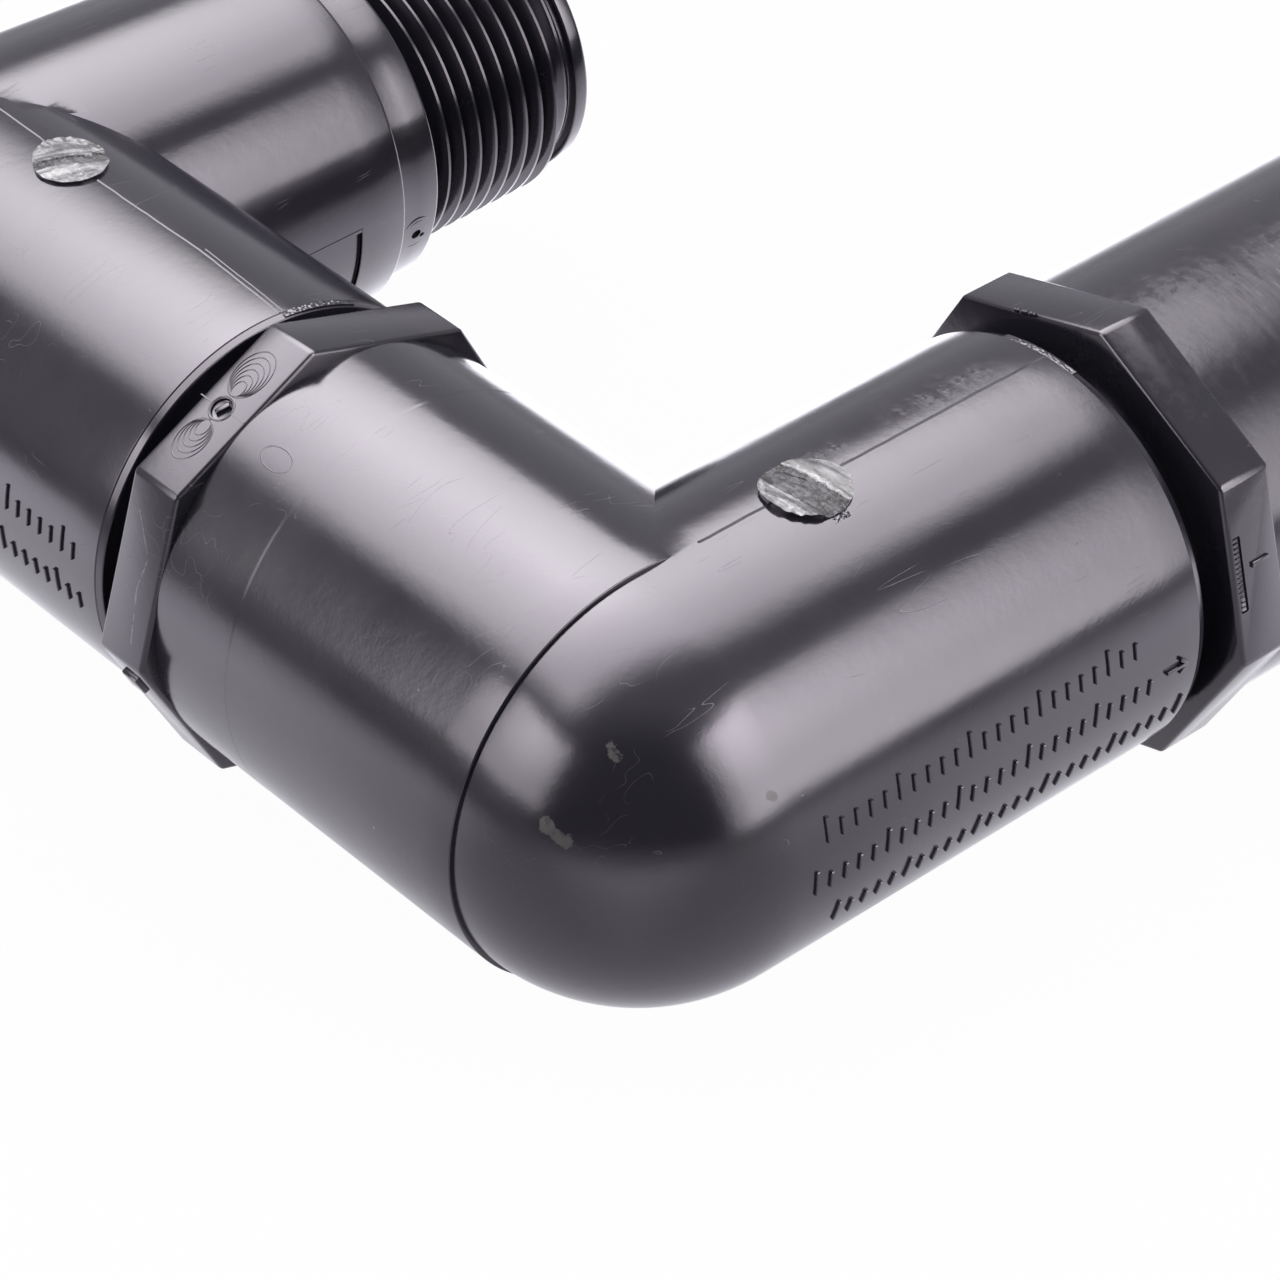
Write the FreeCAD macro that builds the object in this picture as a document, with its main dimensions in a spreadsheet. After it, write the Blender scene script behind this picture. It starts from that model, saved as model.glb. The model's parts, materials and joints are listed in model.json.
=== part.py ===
import FreeCAD, Part
import Sketcher
import math
import os

# Triple swing joint for 1 inch pipe: two threaded elbows, a street elbow and a lay arm, which turn
# on one another in three coarse-threaded swivels, each sealed by a rubber ring.
# Millimetres, +Z up. The joint lies flat, and the origin is under the middle of its outer box.

SIZES = {
    # Swivel sockets and the ball-shaped heels behind them
    "socket_radius": (21.6, "outside of a socket and of the heel behind it"),
    "street_reach": (51.0, "street elbow, corner to socket mouth"),
    "threaded_reach": (53.1, "threaded elbow, corner to socket mouth"),
    "mouth_bore_clearance": (0.2, "mouth bore over the spigot's land, radial"),
    "mouth_bore_depth": (12.2, "smooth bore inside the mouth"),
    "mouth_bevel": (0.5, "bevel inside the mouth"),
    "rim_round": (0.4, "bevel outside the mouth"),
    # Plain arms and their octagonal collars
    "arm_radius": (22.0, "outside of the plain arms"),
    "street_arm_length": (42.1, "street elbow, corner to collar"),
    "collar_thickness": (6.4, "octagonal collar, along its arm"),
    "collar_flats": (44.5, "octagonal collar, across flats"),
    "collar_turn_street": (-5.4, "street elbow's collar, degrees about its arm"),
    "collar_turn_lay": (7.1, "lay arm's collars, degrees about its arm"),
    # Spigots, measured from the collar
    "spigot_length": (31.0, "collar to tip"),
    "land_radius": (17.9, "smooth land that carries the seal"),
    "land_length": (10.6, "smooth land"),
    "seal_groove_start": (3.8, "collar to seal groove"),
    "seal_groove_width": (3.2, "seal groove"),
    "seal_groove_radius": (15.8, "floor of the seal groove"),
    "seal_clearance": (0.05, "squeezed seal to its groove and bore"),
    "tip_bevel": (0.8, "bevel at the spigot's tip"),
    # Coarse swivel thread
    "thread_start": (13.2, "collar to the first turn"),
    "thread_turns": (2.5, "turns on a spigot"),
    "thread_pitch": (5.08, "one turn's travel"),
    "core_radius": (15.9, "spigot under its thread"),
    "thread_height": (1.4, "root to crest"),
    "root_width": (3.0, "thread at its root"),
    "crest_width": (1.6, "thread at its crest"),
    "thread_clearance": (0.3, "between the two threads, radial"),
    "flank_clearance": (0.35, "between the two threads, along the axis"),
    "thread_runout": (2.0, "socket thread past the spigot's last turn"),
    "tip_room": (3.0, "spigot's tip to the end of the socket's chamber"),
    "root_overlap": (0.4, "thread sunk into its core"),
    # Gaps between collar and mouth, about half a turn backed out
    "inlet_gap": (2.65, "threaded inlet elbow to street elbow"),
    "middle_gap": (3.1, "street elbow to lay arm"),
    "outlet_gap": (2.9, "lay arm to threaded outlet elbow"),
    # Threaded arms
    "body_length": (42.4, "corner to the end of the arm's thick part"),
    "body_end_radius": (20.3, "thick part at its end"),
    "ring_length": (5.4, "plain ring before the pipe thread"),
    "ring_radius": (19.1, "plain ring"),
    "pipe_thread_length": (22.4, "pipe thread"),
    "pipe_thread_radius": (16.95, "pipe thread's crests at the ring"),
    "pipe_thread_taper": (0.03125, "crest radius lost for each millimetre"),
    "nose_length": (1.9, "plain nose past the pipe thread"),
    "nose_radius": (15.3, "nose behind its bevel"),
    "nose_bevel": (0.6, "nose bevel"),
    # Shallow moulded recess in a threaded arm, on the side that its socket points to
    "recess_start": (24.0, "corner to the recess"),
    "recess_length": (12.2, "recess along the arm"),
    "recess_depth": (0.4, "recess into the arm"),
    "recess_spread": (34.0, "recess round the arm, degrees"),
    "recess_turn": (18.0, "middle of the recess below the socket's axis, degrees"),
    # Waterway
    "waterway_radius": (13.0, "bore of the spigots, the lay arm and the elbows' corners"),
    "nipple_bore_radius": (12.2, "bore of the threaded arms"),
    # Moulding gates, round discs on the sockets' parting lines
    "gate_radius": (4.4, "gate disc"),
    "gate_stand": (0.35, "gate disc above the socket"),
    "street_gate_place": (19.5, "street elbow, corner to gate disc"),
    "threaded_gate_place": (18.3, "threaded elbow, corner to gate disc"),
    "threaded_gate_offset": (2.4, "threaded elbow, gate disc off the top line, towards the arm"),
    # Whole assembly
    "lay_length": (304.8, "street elbow's corner to outlet elbow's corner"),
}

OCTAGON_SIDES = 8
HALF_SIDE_ANGLE = 180.0 / OCTAGON_SIDES
SEAL_SIDES = 16
FULL_TURN = 360.0
OVERSHOOT = 1.0  # how far a cut runs past the face that it opens


class Size:
    """A length that knows its number and the formula that gives it from the sheet."""

    def __init__(self, number, formula):
        self.number = number
        self.formula = formula

    def __add__(self, other):
        other = as_size(other)
        return Size(self.number + other.number, f"({self.formula} + {other.formula})")

    def __sub__(self, other):
        other = as_size(other)
        return Size(self.number - other.number, f"({self.formula} - {other.formula})")

    def __mul__(self, factor):
        factor = as_size(factor)
        return Size(self.number * factor.number, f"({self.formula} * {factor.formula})")

    def __truediv__(self, divisor):
        divisor = as_size(divisor)
        return Size(self.number / divisor.number, f"({self.formula} / {divisor.formula})")

    def __neg__(self):
        return Size(-self.number, f"(0 - {self.formula})")

    def cosine(self):
        """The cosine of an angle in degrees."""
        return Size(math.cos(math.radians(self.number)), f"cos({self.formula} * 1 deg)")


def as_size(value):
    return value if isinstance(value, Size) else Size(float(value), repr(float(value)))


def make_sheet(doc):
    """Write the driving sizes to the sheet, one row each."""
    sheet = doc.addObject("Spreadsheet::Sheet", "sizes")
    for row, (alias, (number, note)) in enumerate(SIZES.items(), start=1):
        sheet.set(f"A{row}", alias)
        sheet.set(f"B{row}", str(number))
        sheet.set(f"C{row}", note)
        sheet.setAlias(f"B{row}", alias)
    doc.recompute()
    return {alias: Size(float(sheet.get(alias)), f"sizes.{alias}") for alias in SIZES}


def origin_part(body, role):
    return next(part for part in body.Origin.OriginFeatures if part.Role == role)


def bind(feature, path, size):
    feature.setExpression(path, as_size(size).formula)


def new_body(doc, name):
    body = doc.addObject("PartDesign::Body", name)
    body.Label = name
    return body


def place(body, x, y, z, turn=0.0, axis=(0, 0, 1)):
    """Put a body's own corner at a point of the assembly, turned by whole quarter turns."""
    body.Placement = FreeCAD.Placement(FreeCAD.Vector(), FreeCAD.Rotation(FreeCAD.Vector(*axis), turn))
    for letter, size in zip("xyz", (x, y, z)):
        bind(body, f"Placement.Base.{letter}", size)


def outline(body, name, points):
    """A closed outline in the body's XY plane, each corner tied to the sheet."""
    sketch = body.newObject("Sketcher::SketchObject", name)
    sketch.AttachmentSupport = (origin_part(body, "XY_Plane"), [""])
    sketch.MapMode = "FlatFace"
    corners = [(as_size(u), as_size(v)) for u, v in points]
    places = [FreeCAD.Vector(u.number, v.number, 0) for u, v in corners]
    count = len(corners)
    for index in range(count):
        sketch.addGeometry(Part.LineSegment(places[index], places[(index + 1) % count]))
    for index in range(count):
        sketch.addConstraint(Sketcher.Constraint("Coincident", index, 2, (index + 1) % count, 1))
    for index, (u, v) in enumerate(corners):
        tie(sketch, index, "DistanceX", u)
        tie(sketch, index, "DistanceY", v)
    return sketch


def tie(sketch, index, kind, size):
    """Hold one coordinate of a line's first end at a size from the sheet."""
    if size.number == 0:
        axis_line = -2 if kind == "DistanceX" else -1
        sketch.addConstraint(Sketcher.Constraint("PointOnObject", index, 1, axis_line))
        return
    if size.number > 0:
        constraint = Sketcher.Constraint(kind, -1, 1, index, 1, size.number)
    else:
        size = -size
        constraint = Sketcher.Constraint(kind, index, 1, -1, 1, size.number)
    number = sketch.addConstraint(constraint)
    sketch.setExpression(f"Constraints[{number}]", size.formula)


def turned(body, name, points, axis, cut=False):
    """Turn an outline all round an axis of the body, as solid or as a cut."""
    sketch = outline(body, name + "_outline", points)
    feature = body.newObject("PartDesign::Groove" if cut else "PartDesign::Revolution", name)
    feature.Profile = (sketch, [""])
    feature.ReferenceAxis = (origin_part(body, axis), [""])
    feature.Angle = FULL_TURN
    return feature


def ball(body, name, radius, cut=False):
    """A sphere round the elbow's corner."""
    kind = "PartDesign::SubtractiveSphere" if cut else "PartDesign::AdditiveSphere"
    feature = body.newObject(kind, name)
    bind(feature, "Radius", radius)
    return feature


def octagon(body, name, sizes, plane, start, turn):
    """An octagonal wrench collar across an arm, from start along the plane's normal."""
    feature = body.newObject("PartDesign::AdditivePrism", name)
    feature.AttachmentSupport = (origin_part(body, plane), [""])
    feature.MapMode = "FlatFace"
    feature.Polygon = OCTAGON_SIDES
    bind(feature, "Circumradius", collar_corner(sizes))
    bind(feature, "Height", sizes["collar_thickness"])
    bind(feature, "AttachmentOffset.Base.z", start)
    bind(feature, "AttachmentOffset.Rotation.Angle", turn)
    return feature


def collar_corner(sizes):
    """Centre to corner of a collar."""
    return sizes["collar_flats"] / (2 * math.cos(math.radians(HALF_SIDE_ANGLE)))


def helix(body, name, points, axis, pitch, height, backwards, cut=False):
    """Sweep an outline along a right-hand helix round an axis of the body."""
    sketch = outline(body, name + "_outline", points)
    feature = body.newObject("PartDesign::SubtractiveHelix" if cut else "PartDesign::AdditiveHelix", name)
    feature.Profile = (sketch, [""])
    feature.ReferenceAxis = (origin_part(body, axis), [""])
    feature.Mode = 0
    feature.Reversed = backwards
    bind(feature, "Pitch", pitch)
    bind(feature, "Height", height)
    return feature


def spigot_steps(sizes):
    """Distance from the collar and radius of each corner of a spigot, collar first."""
    land = sizes["land_radius"]
    core = sizes["core_radius"]
    floor = sizes["seal_groove_radius"]
    start = sizes["seal_groove_start"]
    end = start + sizes["seal_groove_width"]
    length = sizes["spigot_length"]
    bevel = sizes["tip_bevel"]
    return [
        (-sizes["collar_thickness"] / 2, land),
        (start, land),
        (start, floor),
        (end, floor),
        (end, land),
        (sizes["land_length"], land),
        (sizes["land_length"], core),
        (length - bevel, core),
        (length, core - bevel),
    ]


def spigot_thread(sizes, collar, outwards):
    """Section of a spigot's thread, as distances along the axis and radii, from a collar face."""
    middle = collar + sizes["thread_start"] * outwards
    low = sizes["core_radius"] - sizes["root_overlap"]
    root = sizes["core_radius"]
    high = sizes["core_radius"] + sizes["thread_height"]
    half_root = sizes["root_width"] / 2
    half_crest = sizes["crest_width"] / 2
    return [
        (middle - half_root, low),
        (middle + half_root, low),
        (middle + half_root, root),
        (middle + half_crest, high),
        (middle - half_crest, high),
        (middle - half_root, root),
    ]


def thread_height_along(sizes):
    return sizes["thread_pitch"] * sizes["thread_turns"]


def swap(points):
    return [(v, u) for u, v in points]


def cut_socket(body, sizes, reach, gap):
    """Bore a socket along X: smooth mouth, thread in step with the spigot's, chamber and waterway."""
    minor = sizes["core_radius"] + sizes["thread_clearance"]
    mouth = sizes["land_radius"] + sizes["mouth_bore_clearance"]
    shoulder = reach - sizes["mouth_bore_depth"]
    bevel = sizes["mouth_bevel"]
    chamber_end = reach + gap - sizes["spigot_length"] - sizes["tip_room"]
    waterway = sizes["waterway_radius"]
    turned(body, "socket_bore", [
        (0, 0),
        (reach + OVERSHOOT, 0),
        (reach + OVERSHOOT, mouth + bevel),
        (reach, mouth + bevel),
        (reach - bevel, mouth),
        (shoulder, mouth),
        (shoulder, minor),
        (chamber_end, minor),
        (chamber_end, waterway),
        (0, waterway),
    ], "X_Axis", cut=True)
    ball(body, "corner_bore", waterway, cut=True)
    pitch = sizes["thread_pitch"]
    start = reach + gap - sizes["thread_start"] + pitch
    half_root = sizes["root_width"] / 2 + sizes["flank_clearance"]
    half_crest = sizes["crest_width"] / 2 + sizes["flank_clearance"]
    low = sizes["core_radius"] - sizes["root_overlap"]
    major = sizes["core_radius"] + sizes["thread_height"] + sizes["thread_clearance"]
    height = thread_height_along(sizes) + pitch + gap + sizes["thread_runout"]
    helix(body, "socket_thread", [
        (start - half_root, low),
        (start + half_root, low),
        (start + half_root, sizes["core_radius"]),
        (start + half_crest, major),
        (start - half_crest, major),
        (start - half_root, sizes["core_radius"]),
    ], "X_Axis", pitch, height, True, cut=True)


def socket_outside(body, sizes, reach, gate_place, gate_offset=0):
    """Socket along X with a ball heel round the corner, and the gate disc on or near its top line."""
    radius = sizes["socket_radius"]
    rim = sizes["rim_round"]
    turned(body, "socket", [
        (0, 0),
        (reach, 0),
        (reach, radius - rim),
        (reach - rim, radius),
        (0, radius),
    ], "X_Axis")
    ball(body, "heel", radius)
    disc = body.newObject("PartDesign::AdditiveCylinder", "gate_disc")
    disc.AttachmentSupport = (origin_part(body, "XY_Plane"), [""])
    disc.MapMode = "FlatFace"
    bind(disc, "Radius", sizes["gate_radius"])
    bind(disc, "AttachmentOffset.Base.x", gate_place)
    bind(disc, "AttachmentOffset.Base.y", gate_offset)
    bind(disc, "AttachmentOffset.Base.z", sizes["land_radius"] + sizes["mouth_bore_clearance"])
    bind(disc, "Height", radius + sizes["gate_stand"] - sizes["land_radius"] - sizes["mouth_bore_clearance"])


def make_street_elbow(doc, sizes):
    """Elbow with a socket along X and a collared spigot along Y."""
    body = new_body(doc, "street_elbow")
    socket_outside(body, sizes, sizes["street_reach"], sizes["street_gate_place"])
    length = sizes["street_arm_length"]
    collar = length + sizes["collar_thickness"]
    steps = [(collar + along, radius) for along, radius in spigot_steps(sizes)]
    turned(body, "spigot_arm", swap([
        (0, 0),
        (0, sizes["arm_radius"]),
        (steps[0][0], sizes["arm_radius"]),
        *steps,
        (steps[-1][0], 0),
    ]), "Y_Axis")
    octagon(body, "collar", sizes, "XZ_Plane", -collar, -sizes["collar_turn_street"])
    cut_socket(body, sizes, sizes["street_reach"], sizes["middle_gap"])
    tip = collar + sizes["spigot_length"]
    turned(body, "waterway", swap([
        (0, 0),
        (0, sizes["waterway_radius"]),
        (tip + OVERSHOOT, sizes["waterway_radius"]),
        (tip + OVERSHOOT, 0),
    ]), "Y_Axis", cut=True)
    helix(body, "spigot_thread", swap(spigot_thread(sizes, collar, 1)), "Y_Axis",
          sizes["thread_pitch"], thread_height_along(sizes), False)
    return body


def make_threaded_elbow(doc, sizes, name, gap):
    """Elbow with a socket along X and a male pipe thread along Y."""
    body = new_body(doc, name)
    socket_outside(body, sizes, sizes["threaded_reach"], sizes["threaded_gate_place"],
                   sizes["threaded_gate_offset"])
    body_end = sizes["body_length"]
    ring_end = body_end + sizes["ring_length"]
    thread_end = ring_end + sizes["pipe_thread_length"]
    tip = thread_end + sizes["nose_length"]
    bevel = sizes["nose_bevel"]
    small_crest = sizes["pipe_thread_radius"] - sizes["pipe_thread_length"] * sizes["pipe_thread_taper"]
    turned(body, "threaded_arm", swap([
        (0, 0),
        (0, sizes["socket_radius"]),
        (body_end, sizes["body_end_radius"]),
        (body_end, sizes["ring_radius"]),
        (ring_end, sizes["ring_radius"]),
        (ring_end, sizes["pipe_thread_radius"]),
        (thread_end, small_crest),
        (thread_end, sizes["nose_radius"]),
        (tip - bevel, sizes["nose_radius"]),
        (tip, sizes["nose_radius"] - bevel),
        (tip, 0),
    ]), "Y_Axis")
    arm_recess(body, sizes)
    cut_socket(body, sizes, sizes["threaded_reach"], gap)
    turned(body, "waterway", swap([
        (0, 0),
        (0, sizes["nipple_bore_radius"]),
        (tip + OVERSHOOT, sizes["nipple_bore_radius"]),
        (tip + OVERSHOOT, 0),
    ]), "Y_Axis", cut=True)
    return body


def arm_recess(body, sizes):
    """The shallow recess in the side of a threaded arm, with a floor that follows the arm."""
    start = sizes["recess_start"]
    end = start + sizes["recess_length"]
    fall = (sizes["socket_radius"] - sizes["body_end_radius"]) / sizes["body_length"]
    floor = sizes["socket_radius"] - sizes["recess_depth"]
    outside = sizes["socket_radius"] + OVERSHOOT
    groove = turned(body, "recess", [
        (floor - fall * start, start),
        (outside, start),
        (outside, end),
        (floor - fall * end, end),
    ], "Y_Axis", cut=True)
    sketch = groove.Profile[0]
    sketch.AttachmentOffset = FreeCAD.Placement(
        FreeCAD.Vector(), FreeCAD.Rotation(FreeCAD.Vector(0, 1, 0), sizes["recess_turn"].number))
    bind(sketch, "AttachmentOffset.Rotation.Angle", sizes["recess_turn"])
    bind(groove, "Angle", sizes["recess_spread"])
    groove.Midplane = True


def lay_arm_length(sizes):
    """Collar face to collar face of the lay arm."""
    ends = sizes["street_reach"] + sizes["middle_gap"] + sizes["outlet_gap"] + sizes["threaded_reach"]
    return sizes["lay_length"] - ends


def make_lay_arm(doc, sizes):
    """Straight arm along X with a collar and a spigot at each end. Its left collar face is at 0."""
    body = new_body(doc, "lay_arm")
    length = lay_arm_length(sizes)
    left = [(-along, radius) for along, radius in spigot_steps(sizes)]
    right = [(length + along, radius) for along, radius in spigot_steps(sizes)]
    turned(body, "arm", [
        (left[-1][0], 0),
        *reversed(left),
        (left[0][0], sizes["arm_radius"]),
        (right[0][0], sizes["arm_radius"]),
        *right,
        (right[-1][0], 0),
    ], "X_Axis")
    turn = sizes["collar_turn_lay"]
    octagon(body, "left_collar", sizes, "YZ_Plane", 0, turn)
    octagon(body, "right_collar", sizes, "YZ_Plane", length - sizes["collar_thickness"], turn)
    reach = sizes["spigot_length"] + OVERSHOOT
    turned(body, "waterway", [
        (-reach, 0),
        (length + reach, 0),
        (length + reach, sizes["waterway_radius"]),
        (-reach, sizes["waterway_radius"]),
    ], "X_Axis", cut=True)
    helix(body, "left_thread", spigot_thread(sizes, as_size(0), -1), "X_Axis",
          sizes["thread_pitch"], thread_height_along(sizes), True)
    helix(body, "right_thread", spigot_thread(sizes, length, 1), "X_Axis",
          sizes["thread_pitch"], thread_height_along(sizes), False)
    return body


def make_seal(doc, sizes, name):
    """Rubber ring round X, squeezed between its groove's floor and the socket's mouth bore."""
    body = new_body(doc, name)
    bore = sizes["land_radius"] + sizes["mouth_bore_clearance"]
    floor = sizes["seal_groove_radius"]
    middle = (bore + floor) / 2
    half_side = math.pi / SEAL_SIDES
    corner = ((bore - floor) / 2 - sizes["seal_clearance"]) / math.cos(half_side)
    angles = [half_side * (2 * index + 1) for index in range(SEAL_SIDES)]
    turned(body, "ring", [
        (corner * math.sin(angle), middle + corner * math.cos(angle)) for angle in angles
    ], "X_Axis")
    return body


def build(doc, sizes):
    """Make every piece and set it in the assembly."""
    inlet_corner = (sizes["street_arm_length"] + sizes["collar_thickness"] + sizes["inlet_gap"]
                    + sizes["threaded_reach"])
    corner = collar_corner(sizes)
    street_reach = corner * sizes["collar_turn_street"].cosine()
    lay_reach = corner * sizes["collar_turn_lay"].cosine()
    # The street elbow's corner, seen from the middle of the outer box's underside
    x = -(sizes["lay_length"] + sizes["socket_radius"] - street_reach) / 2
    y = -(inlet_corner + sizes["socket_radius"] - lay_reach) / 2
    z = street_reach

    street = make_street_elbow(doc, sizes)
    place(street, x, y, z)
    inlet = make_threaded_elbow(doc, sizes, "inlet_elbow", sizes["inlet_gap"])
    place(inlet, x, y + inlet_corner, z, turn=-90)
    arm = make_lay_arm(doc, sizes)
    arm_start = x + sizes["street_reach"] + sizes["middle_gap"]
    place(arm, arm_start, y, z)
    outlet = make_threaded_elbow(doc, sizes, "outlet_elbow", sizes["outlet_gap"])
    place(outlet, x + sizes["lay_length"], y, z, turn=180, axis=(0, 1, 0))

    seal_place = sizes["seal_groove_start"] + sizes["seal_groove_width"] / 2
    collar = sizes["street_arm_length"] + sizes["collar_thickness"]
    inlet_seal = make_seal(doc, sizes, "inlet_seal")
    place(inlet_seal, x, y + collar + seal_place, z, turn=90)
    middle_seal = make_seal(doc, sizes, "middle_seal")
    place(middle_seal, arm_start - seal_place, y, z)
    outlet_seal = make_seal(doc, sizes, "outlet_seal")
    place(outlet_seal, arm_start + lay_arm_length(sizes) + seal_place, y, z)
    return [street, inlet, arm, outlet, inlet_seal, middle_seal, outlet_seal]


def check(doc, pieces):
    """Stop where any object failed or any piece has no sound solid."""
    for item in doc.Objects:
        if "Invalid" in item.State or "Error" in item.State:
            raise RuntimeError(f"{item.Label} did not compute: {item.State}")
    for piece in pieces:
        if piece.Shape.isNull() or not piece.Shape.isValid() or len(piece.Shape.Solids) != 1:
            raise RuntimeError(f"{piece.Label} is not one sound solid")


def main():
    doc = FreeCAD.newDocument("triple_swing_joint")
    sizes = make_sheet(doc)
    pieces = build(doc, sizes)
    doc.recompute()
    check(doc, pieces)
    os.makedirs("parts", exist_ok=True)
    for piece in pieces:
        piece.Shape.exportStep(os.path.join("parts", piece.Label + ".step"))
        print(piece.Label, round(piece.Shape.Volume / 1000, 2), "cm3")


main()
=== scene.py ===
"""Looks of a triple swing joint for 1 inch pipe: moulded elbows, a lay arm, their finishes, light and camera.

Sizes of the fittings are in millimetres in each class, and the meshes are in metres in the frame of the
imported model. A fitting's own frame has its corner at the origin, its socket along +X and its arm along +Y.
"""

from __future__ import annotations

import json
import logging
import math
from collections.abc import Callable
from dataclasses import dataclass
from enum import Enum

import bmesh
import bpy
from mathutils import Matrix, Vector, noise

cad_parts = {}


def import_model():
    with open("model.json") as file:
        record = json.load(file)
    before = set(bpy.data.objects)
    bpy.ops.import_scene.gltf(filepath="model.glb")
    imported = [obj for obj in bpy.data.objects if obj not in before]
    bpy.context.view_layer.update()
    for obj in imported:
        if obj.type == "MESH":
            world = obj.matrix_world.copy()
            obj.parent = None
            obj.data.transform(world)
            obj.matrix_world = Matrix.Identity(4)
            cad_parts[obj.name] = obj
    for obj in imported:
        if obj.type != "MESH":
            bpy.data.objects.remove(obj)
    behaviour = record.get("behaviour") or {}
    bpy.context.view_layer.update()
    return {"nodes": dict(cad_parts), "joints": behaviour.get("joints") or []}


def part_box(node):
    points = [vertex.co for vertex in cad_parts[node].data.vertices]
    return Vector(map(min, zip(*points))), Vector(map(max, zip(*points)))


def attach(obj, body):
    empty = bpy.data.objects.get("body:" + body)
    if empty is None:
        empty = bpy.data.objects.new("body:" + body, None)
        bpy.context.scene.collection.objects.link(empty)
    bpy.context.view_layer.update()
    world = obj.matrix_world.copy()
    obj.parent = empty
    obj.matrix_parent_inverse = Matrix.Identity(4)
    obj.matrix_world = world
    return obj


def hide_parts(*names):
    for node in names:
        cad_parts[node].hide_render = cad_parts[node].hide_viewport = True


MM = 0.001
PLASTIC_SLOT = "charcoal_pvc"
EPSILON = 1e-6
QUARTER = math.pi / 2
FULL_TURN = 2 * math.pi
BEVELLED_ANGLE = 30.0
SUNK = 0.04
MEASURES = ("DOT_PRODUCT", "DISTANCE", "LENGTH")

log = logging.getLogger("swing_joint")


class Axis(Enum):
    """An axis of a fitting's own frame, along which a solid is turned."""

    X = (1.0, 0.0, 0.0)
    Y = (0.0, 1.0, 0.0)

    @property
    def vector(self) -> Vector:
        """The axis as a vector."""
        return Vector(self.value)

    @property
    def upright(self) -> Matrix:
        """The turn that lays the Z axis along this one."""
        if self is Axis.X:
            return Matrix.Rotation(QUARTER, 4, "Y")
        return Matrix.Rotation(-QUARTER, 4, "X")

    def spread(self, factor: float) -> Vector:
        """Scale factors that change only the distance from the axis."""
        return Vector(1.0 if part else factor for part in self.value)

    def point(self, along: float, angle: float, radius: float) -> Vector:
        """A point by its place along the axis, angle from the top in degrees and radius, in metres."""
        side = radius * math.sin(math.radians(angle))
        height = radius * math.cos(math.radians(angle))
        return Vector((along, side, height) if self is Axis.X else (side, along, height)) * MM

    def flat(self, along: float, angle: float, radius: float) -> Matrix:
        """The frame of a flat spot: X along the axis, Y round it and Z outwards."""
        round_it = self.point(0, angle + 90, 1) / MM
        outwards = self.point(0, angle, 1) / MM
        turn = Matrix((self.vector, round_it, outwards)).transposed().to_4x4()
        return Matrix.Translation(self.point(along, angle, radius)) @ turn


class Operation(Enum):
    """How two solids are combined."""

    UNITE = "UNION"
    CUT = "DIFFERENCE"


@dataclass(frozen=True)
class Corner:
    """A corner of a turned outline: its place along the axis, its radius and its fillet, in millimetres."""

    along: float
    radius: float
    fillet: float = 0.0


def deselect() -> None:
    """Leave nothing selected and nothing in edit mode."""
    if bpy.context.object and bpy.context.object.mode != "OBJECT":
        bpy.ops.object.mode_set(mode="OBJECT")
    bpy.ops.object.select_all(action="DESELECT")


def activate(obj: bpy.types.Object) -> None:
    """Make one object the only selected and active one.

    Args:
        obj: The object to work on.
    """
    deselect()
    obj.select_set(True)
    bpy.context.view_layer.objects.active = obj


def select_points(obj: bpy.types.Object, test: Callable[[Vector], bool]) -> None:
    """Select the points of a mesh in edit mode by their place.

    Args:
        obj: The mesh object, in edit mode.
        test: Says whether a point is taken.
    """
    bpy.ops.mesh.select_all(action="DESELECT")
    bpy.ops.mesh.select_mode(type="VERT")
    mesh = bmesh.from_edit_mesh(obj.data)
    for point in mesh.verts:
        point.select = test(point.co)
    mesh.select_flush_mode()
    bmesh.update_edit_mesh(obj.data)


def settle(obj: bpy.types.Object) -> None:
    """Write an object's place, turn and scale into its mesh.

    Args:
        obj: The object to settle.
    """
    activate(obj)
    bpy.ops.object.transform_apply(location=True, rotation=True, scale=True)


def face_outwards(obj: bpy.types.Object) -> None:
    """Merge doubled points and turn all faces outwards.

    Args:
        obj: The mesh object.
    """
    activate(obj)
    bpy.ops.object.mode_set(mode="EDIT")
    bpy.ops.mesh.select_all(action="SELECT")
    bpy.ops.mesh.remove_doubles(threshold=EPSILON)
    bpy.ops.mesh.normals_make_consistent(inside=False)
    bpy.ops.object.mode_set(mode="OBJECT")


def combine(body: bpy.types.Object, tool: bpy.types.Object, operation: Operation) -> None:
    """Combine a tool solid with a body and use the tool up.

    Args:
        body: The solid that stays.
        tool: The solid that is used up.
        operation: How they are combined.
    """
    activate(body)
    modifier = body.modifiers.new(operation.name.lower(), "BOOLEAN")
    modifier.operation = operation.value
    modifier.solver = "EXACT"
    modifier.object = tool
    bpy.ops.object.modifier_apply(modifier=modifier.name)
    bpy.data.objects.remove(tool)


def merge_objects(body: bpy.types.Object, others: list[bpy.types.Object]) -> None:
    """Join other objects into a body as further shells.

    Args:
        body: The object that stays.
        others: The objects that go into it.
    """
    activate(body)
    for other in others:
        other.select_set(True)
    bpy.ops.object.join()


def round_edges(obj: bpy.types.Object, width: float, segments: int = 3) -> None:
    """Round the sharp edges of a simple solid.

    Args:
        obj: The solid.
        width: Width of the rounding in millimetres.
        segments: Faces across the rounding.
    """
    activate(obj)
    modifier = obj.modifiers.new("rounding", "BEVEL")
    modifier.width = width * MM
    modifier.segments = segments
    modifier.limit_method = "ANGLE"
    modifier.angle_limit = math.radians(BEVELLED_ANGLE)
    bpy.ops.object.modifier_apply(modifier=modifier.name)


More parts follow.
